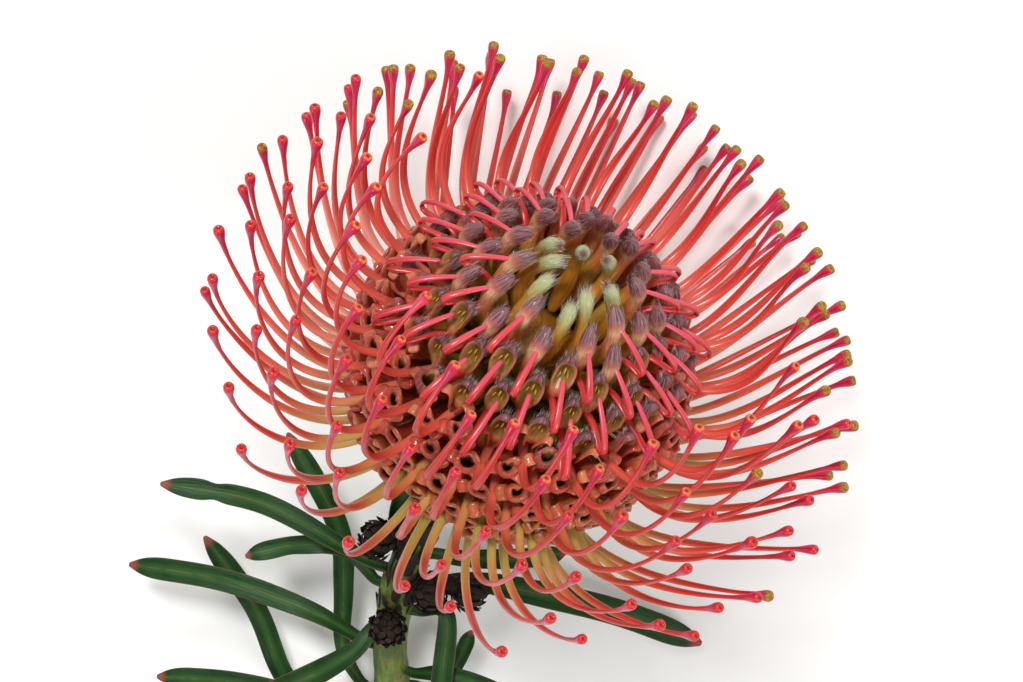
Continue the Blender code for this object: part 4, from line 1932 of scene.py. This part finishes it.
@dataclass(frozen=True)
class BarkFinish:
    """The stem's young bark: yellow-green, with brown and red marks."""

    roughness: float = 0.5

    def build(self, effects: Effects) -> bpy.types.Material:
        """Makes the material.

        Args:
            effects: the shared node groups.

        Returns:
            The material.
        """
        look = Finish("young_bark", effects)
        fine = look.streaks(3.0, 0.25)
        specks = look.step(look.noise(look.place, 520.0, 4.0), 0.60, 0.72, 0.75)
        green = look.mix(look.patches(260.0), "4A5E1E", "6C7C30")
        green = look.tint(green, "3C5420", fine, 0.4)
        green = look.tint(green, "7A4330", specks)
        green = look.tint(green, "A8701E", look.mark)
        height = look.math("ADD", fine, look.math("MULTIPLY", specks, 0.6))
        return look.set(Base_Color=green, Roughness=self.roughness, Normal=look.relief(height, 0.45, 0.0004))


@dataclass(frozen=True)
class BudFinish:
    """Dry dark scales with tan edges."""

    roughness: float = 0.75

    def build(self, effects: Effects) -> bpy.types.Material:
        """Makes the material.

        Args:
            effects: the shared node groups.

        Returns:
            The material.
        """
        look = Finish("dry_scales", effects)
        patches = look.patches(700.0)
        dark = look.mix(patches, "100B07", "291B12")
        dark = look.tint(dark, "3A281C", look.tone, 0.30)
        edge = look.math("MULTIPLY", look.step(look.mark, 0.75, 1.0), look.step(look.along, 0.5, 0.95, 0.65))
        dark = look.tint(dark, "9A7B5C", edge, look.tone)
        return look.set(
            Base_Color=dark, Roughness=self.roughness, Normal=look.relief(patches, 0.5, 0.0003),
            Specular_IOR_Level=0.25,
        )


@dataclass(frozen=True)
class Lamp:
    """A soft round light that points at the flower: its place and width in metres and its power in watts."""

    name: str
    where: Triple
    size: float
    power: float

    def hang(self) -> None:
        """Adds the light."""
        data = bpy.data.lights.new(self.name, "AREA")
        data.shape = "DISK"
        data.size = self.size
        data.energy = self.power
        light = bpy.data.objects.new(self.name, data)
        bpy.context.scene.collection.objects.link(light)
        light.location = self.where
        light.rotation_euler = (Vector(self.where) - HEAD_MIDDLE).to_track_quat("Z", "Y").to_euler()


@dataclass(frozen=True)
class Studio:
    """The floor, the light and the camera."""

    right: Vector = field(default_factory=lambda: Vector((-0.85717, -0.48398, -0.17615)))
    upward: Vector = field(default_factory=lambda: Vector((0.51504, -0.80547, -0.29317)))
    backward: Vector = field(default_factory=lambda: Vector((0.0, -0.34202, 0.93969)))
    distance: float = 0.440
    aim_right: float = -1.118
    aim_up: float = 4.99
    lens: float = 90.0
    sensor_width: float = 36.0
    clip: tuple[float, float] = (0.01, 30.0)
    surroundings: float = 0.42
    floor_size: float = 4.0
    lamps: tuple[Lamp, ...] = (
        Lamp("key", (0.30, -0.50, 0.80), 0.22, 6.6),
        Lamp("fill", (-0.70, -0.10, 0.65), 0.40, 3.4),
        Lamp("back", (0.25, 0.75, 0.60), 0.40, 2.0),
    )

    def place_camera(self) -> None:
        """Adds the camera."""
        data = bpy.data.cameras.new("camera")
        data.lens = self.lens
        data.sensor_width = self.sensor_width
        data.clip_start, data.clip_end = self.clip
        camera = bpy.data.objects.new("camera", data)
        bpy.context.scene.collection.objects.link(camera)
        frame = Matrix((self.right, self.upward, self.backward)).transposed().to_4x4()
        aim = self.right * self.aim_right + self.upward * self.aim_up
        frame.translation = HEAD_MIDDLE + aim * MM + self.backward * self.distance
        camera.matrix_world = frame
        bpy.context.scene.camera = camera

    def light(self) -> None:
        """Adds the lights and the pale surroundings."""
        world = bpy.data.worlds.new("surroundings")
        world.use_nodes = True
        background = world.node_tree.nodes["Background"]
        background.inputs["Color"].default_value = (1.0, 1.0, 1.0, 1.0)
        background.inputs["Strength"].default_value = self.surroundings
        bpy.context.scene.world = world
        for lamp in self.lamps:
            lamp.hang()
        bpy.context.scene.view_settings.view_transform = "Standard"

    def floor(self) -> None:
        """Adds the pale floor."""
        bm = bmesh.new()
        bmesh.ops.create_grid(bm, x_segments=1, y_segments=1, size=self.floor_size)
        mesh = bpy.data.meshes.new("floor")
        bm.to_mesh(mesh)
        bm.free()
        mesh.materials.append(Finish("pale_floor").set(Base_Color="F6F5F3", Roughness=0.6))
        floor = bpy.data.objects.new("floor", mesh)
        bpy.context.scene.collection.objects.link(floor)


def main() -> None:
    """Builds the scene."""
    logging.basicConfig(level=logging.INFO, format="%(message)s")
    noise.seed_set(LUMP_SEED)
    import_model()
    studio = Studio()
    studio.place_camera()
    studio.light()
    studio.floor()
    effects = Effects()
    style_look = StyleFinish().build(effects)
    tepal_look = PerianthFinish().build(effects)
    anther_look = PlainFinish("anther_gold", "B98A1E", "E0B63C", 0.5, 900.0).build(effects)
    leaf_look = LeafFinish().build(effects)
    bark_look = BarkFinish().build(effects)
    wood_look = PlainFinish("cut_wood", "B9B07A", "D9D3A6", 0.7, 500.0).build(effects)
    bud_look = BudFinish().build(effects)
    head = Head()
    for row in range(head.rows):
        build_row(head, row, Perianth, Slot.PERIANTH, [tepal_look, anther_look])
        build_row(head, row, Style, Slot.STYLE, [style_look])
    LimbHairs().build(head, [HairFinish().build()])
    stem = Stem()
    stem.build(LEAVES, [bark_look, wood_look])
    for leaf in LEAVES:
        leaf.build(stem, [leaf_look])
    Bracts().build(stem, [bud_look])
    for bud in BUDS:
        bud.build(stem, [bud_look])


if __name__ == "__main__":
    main()
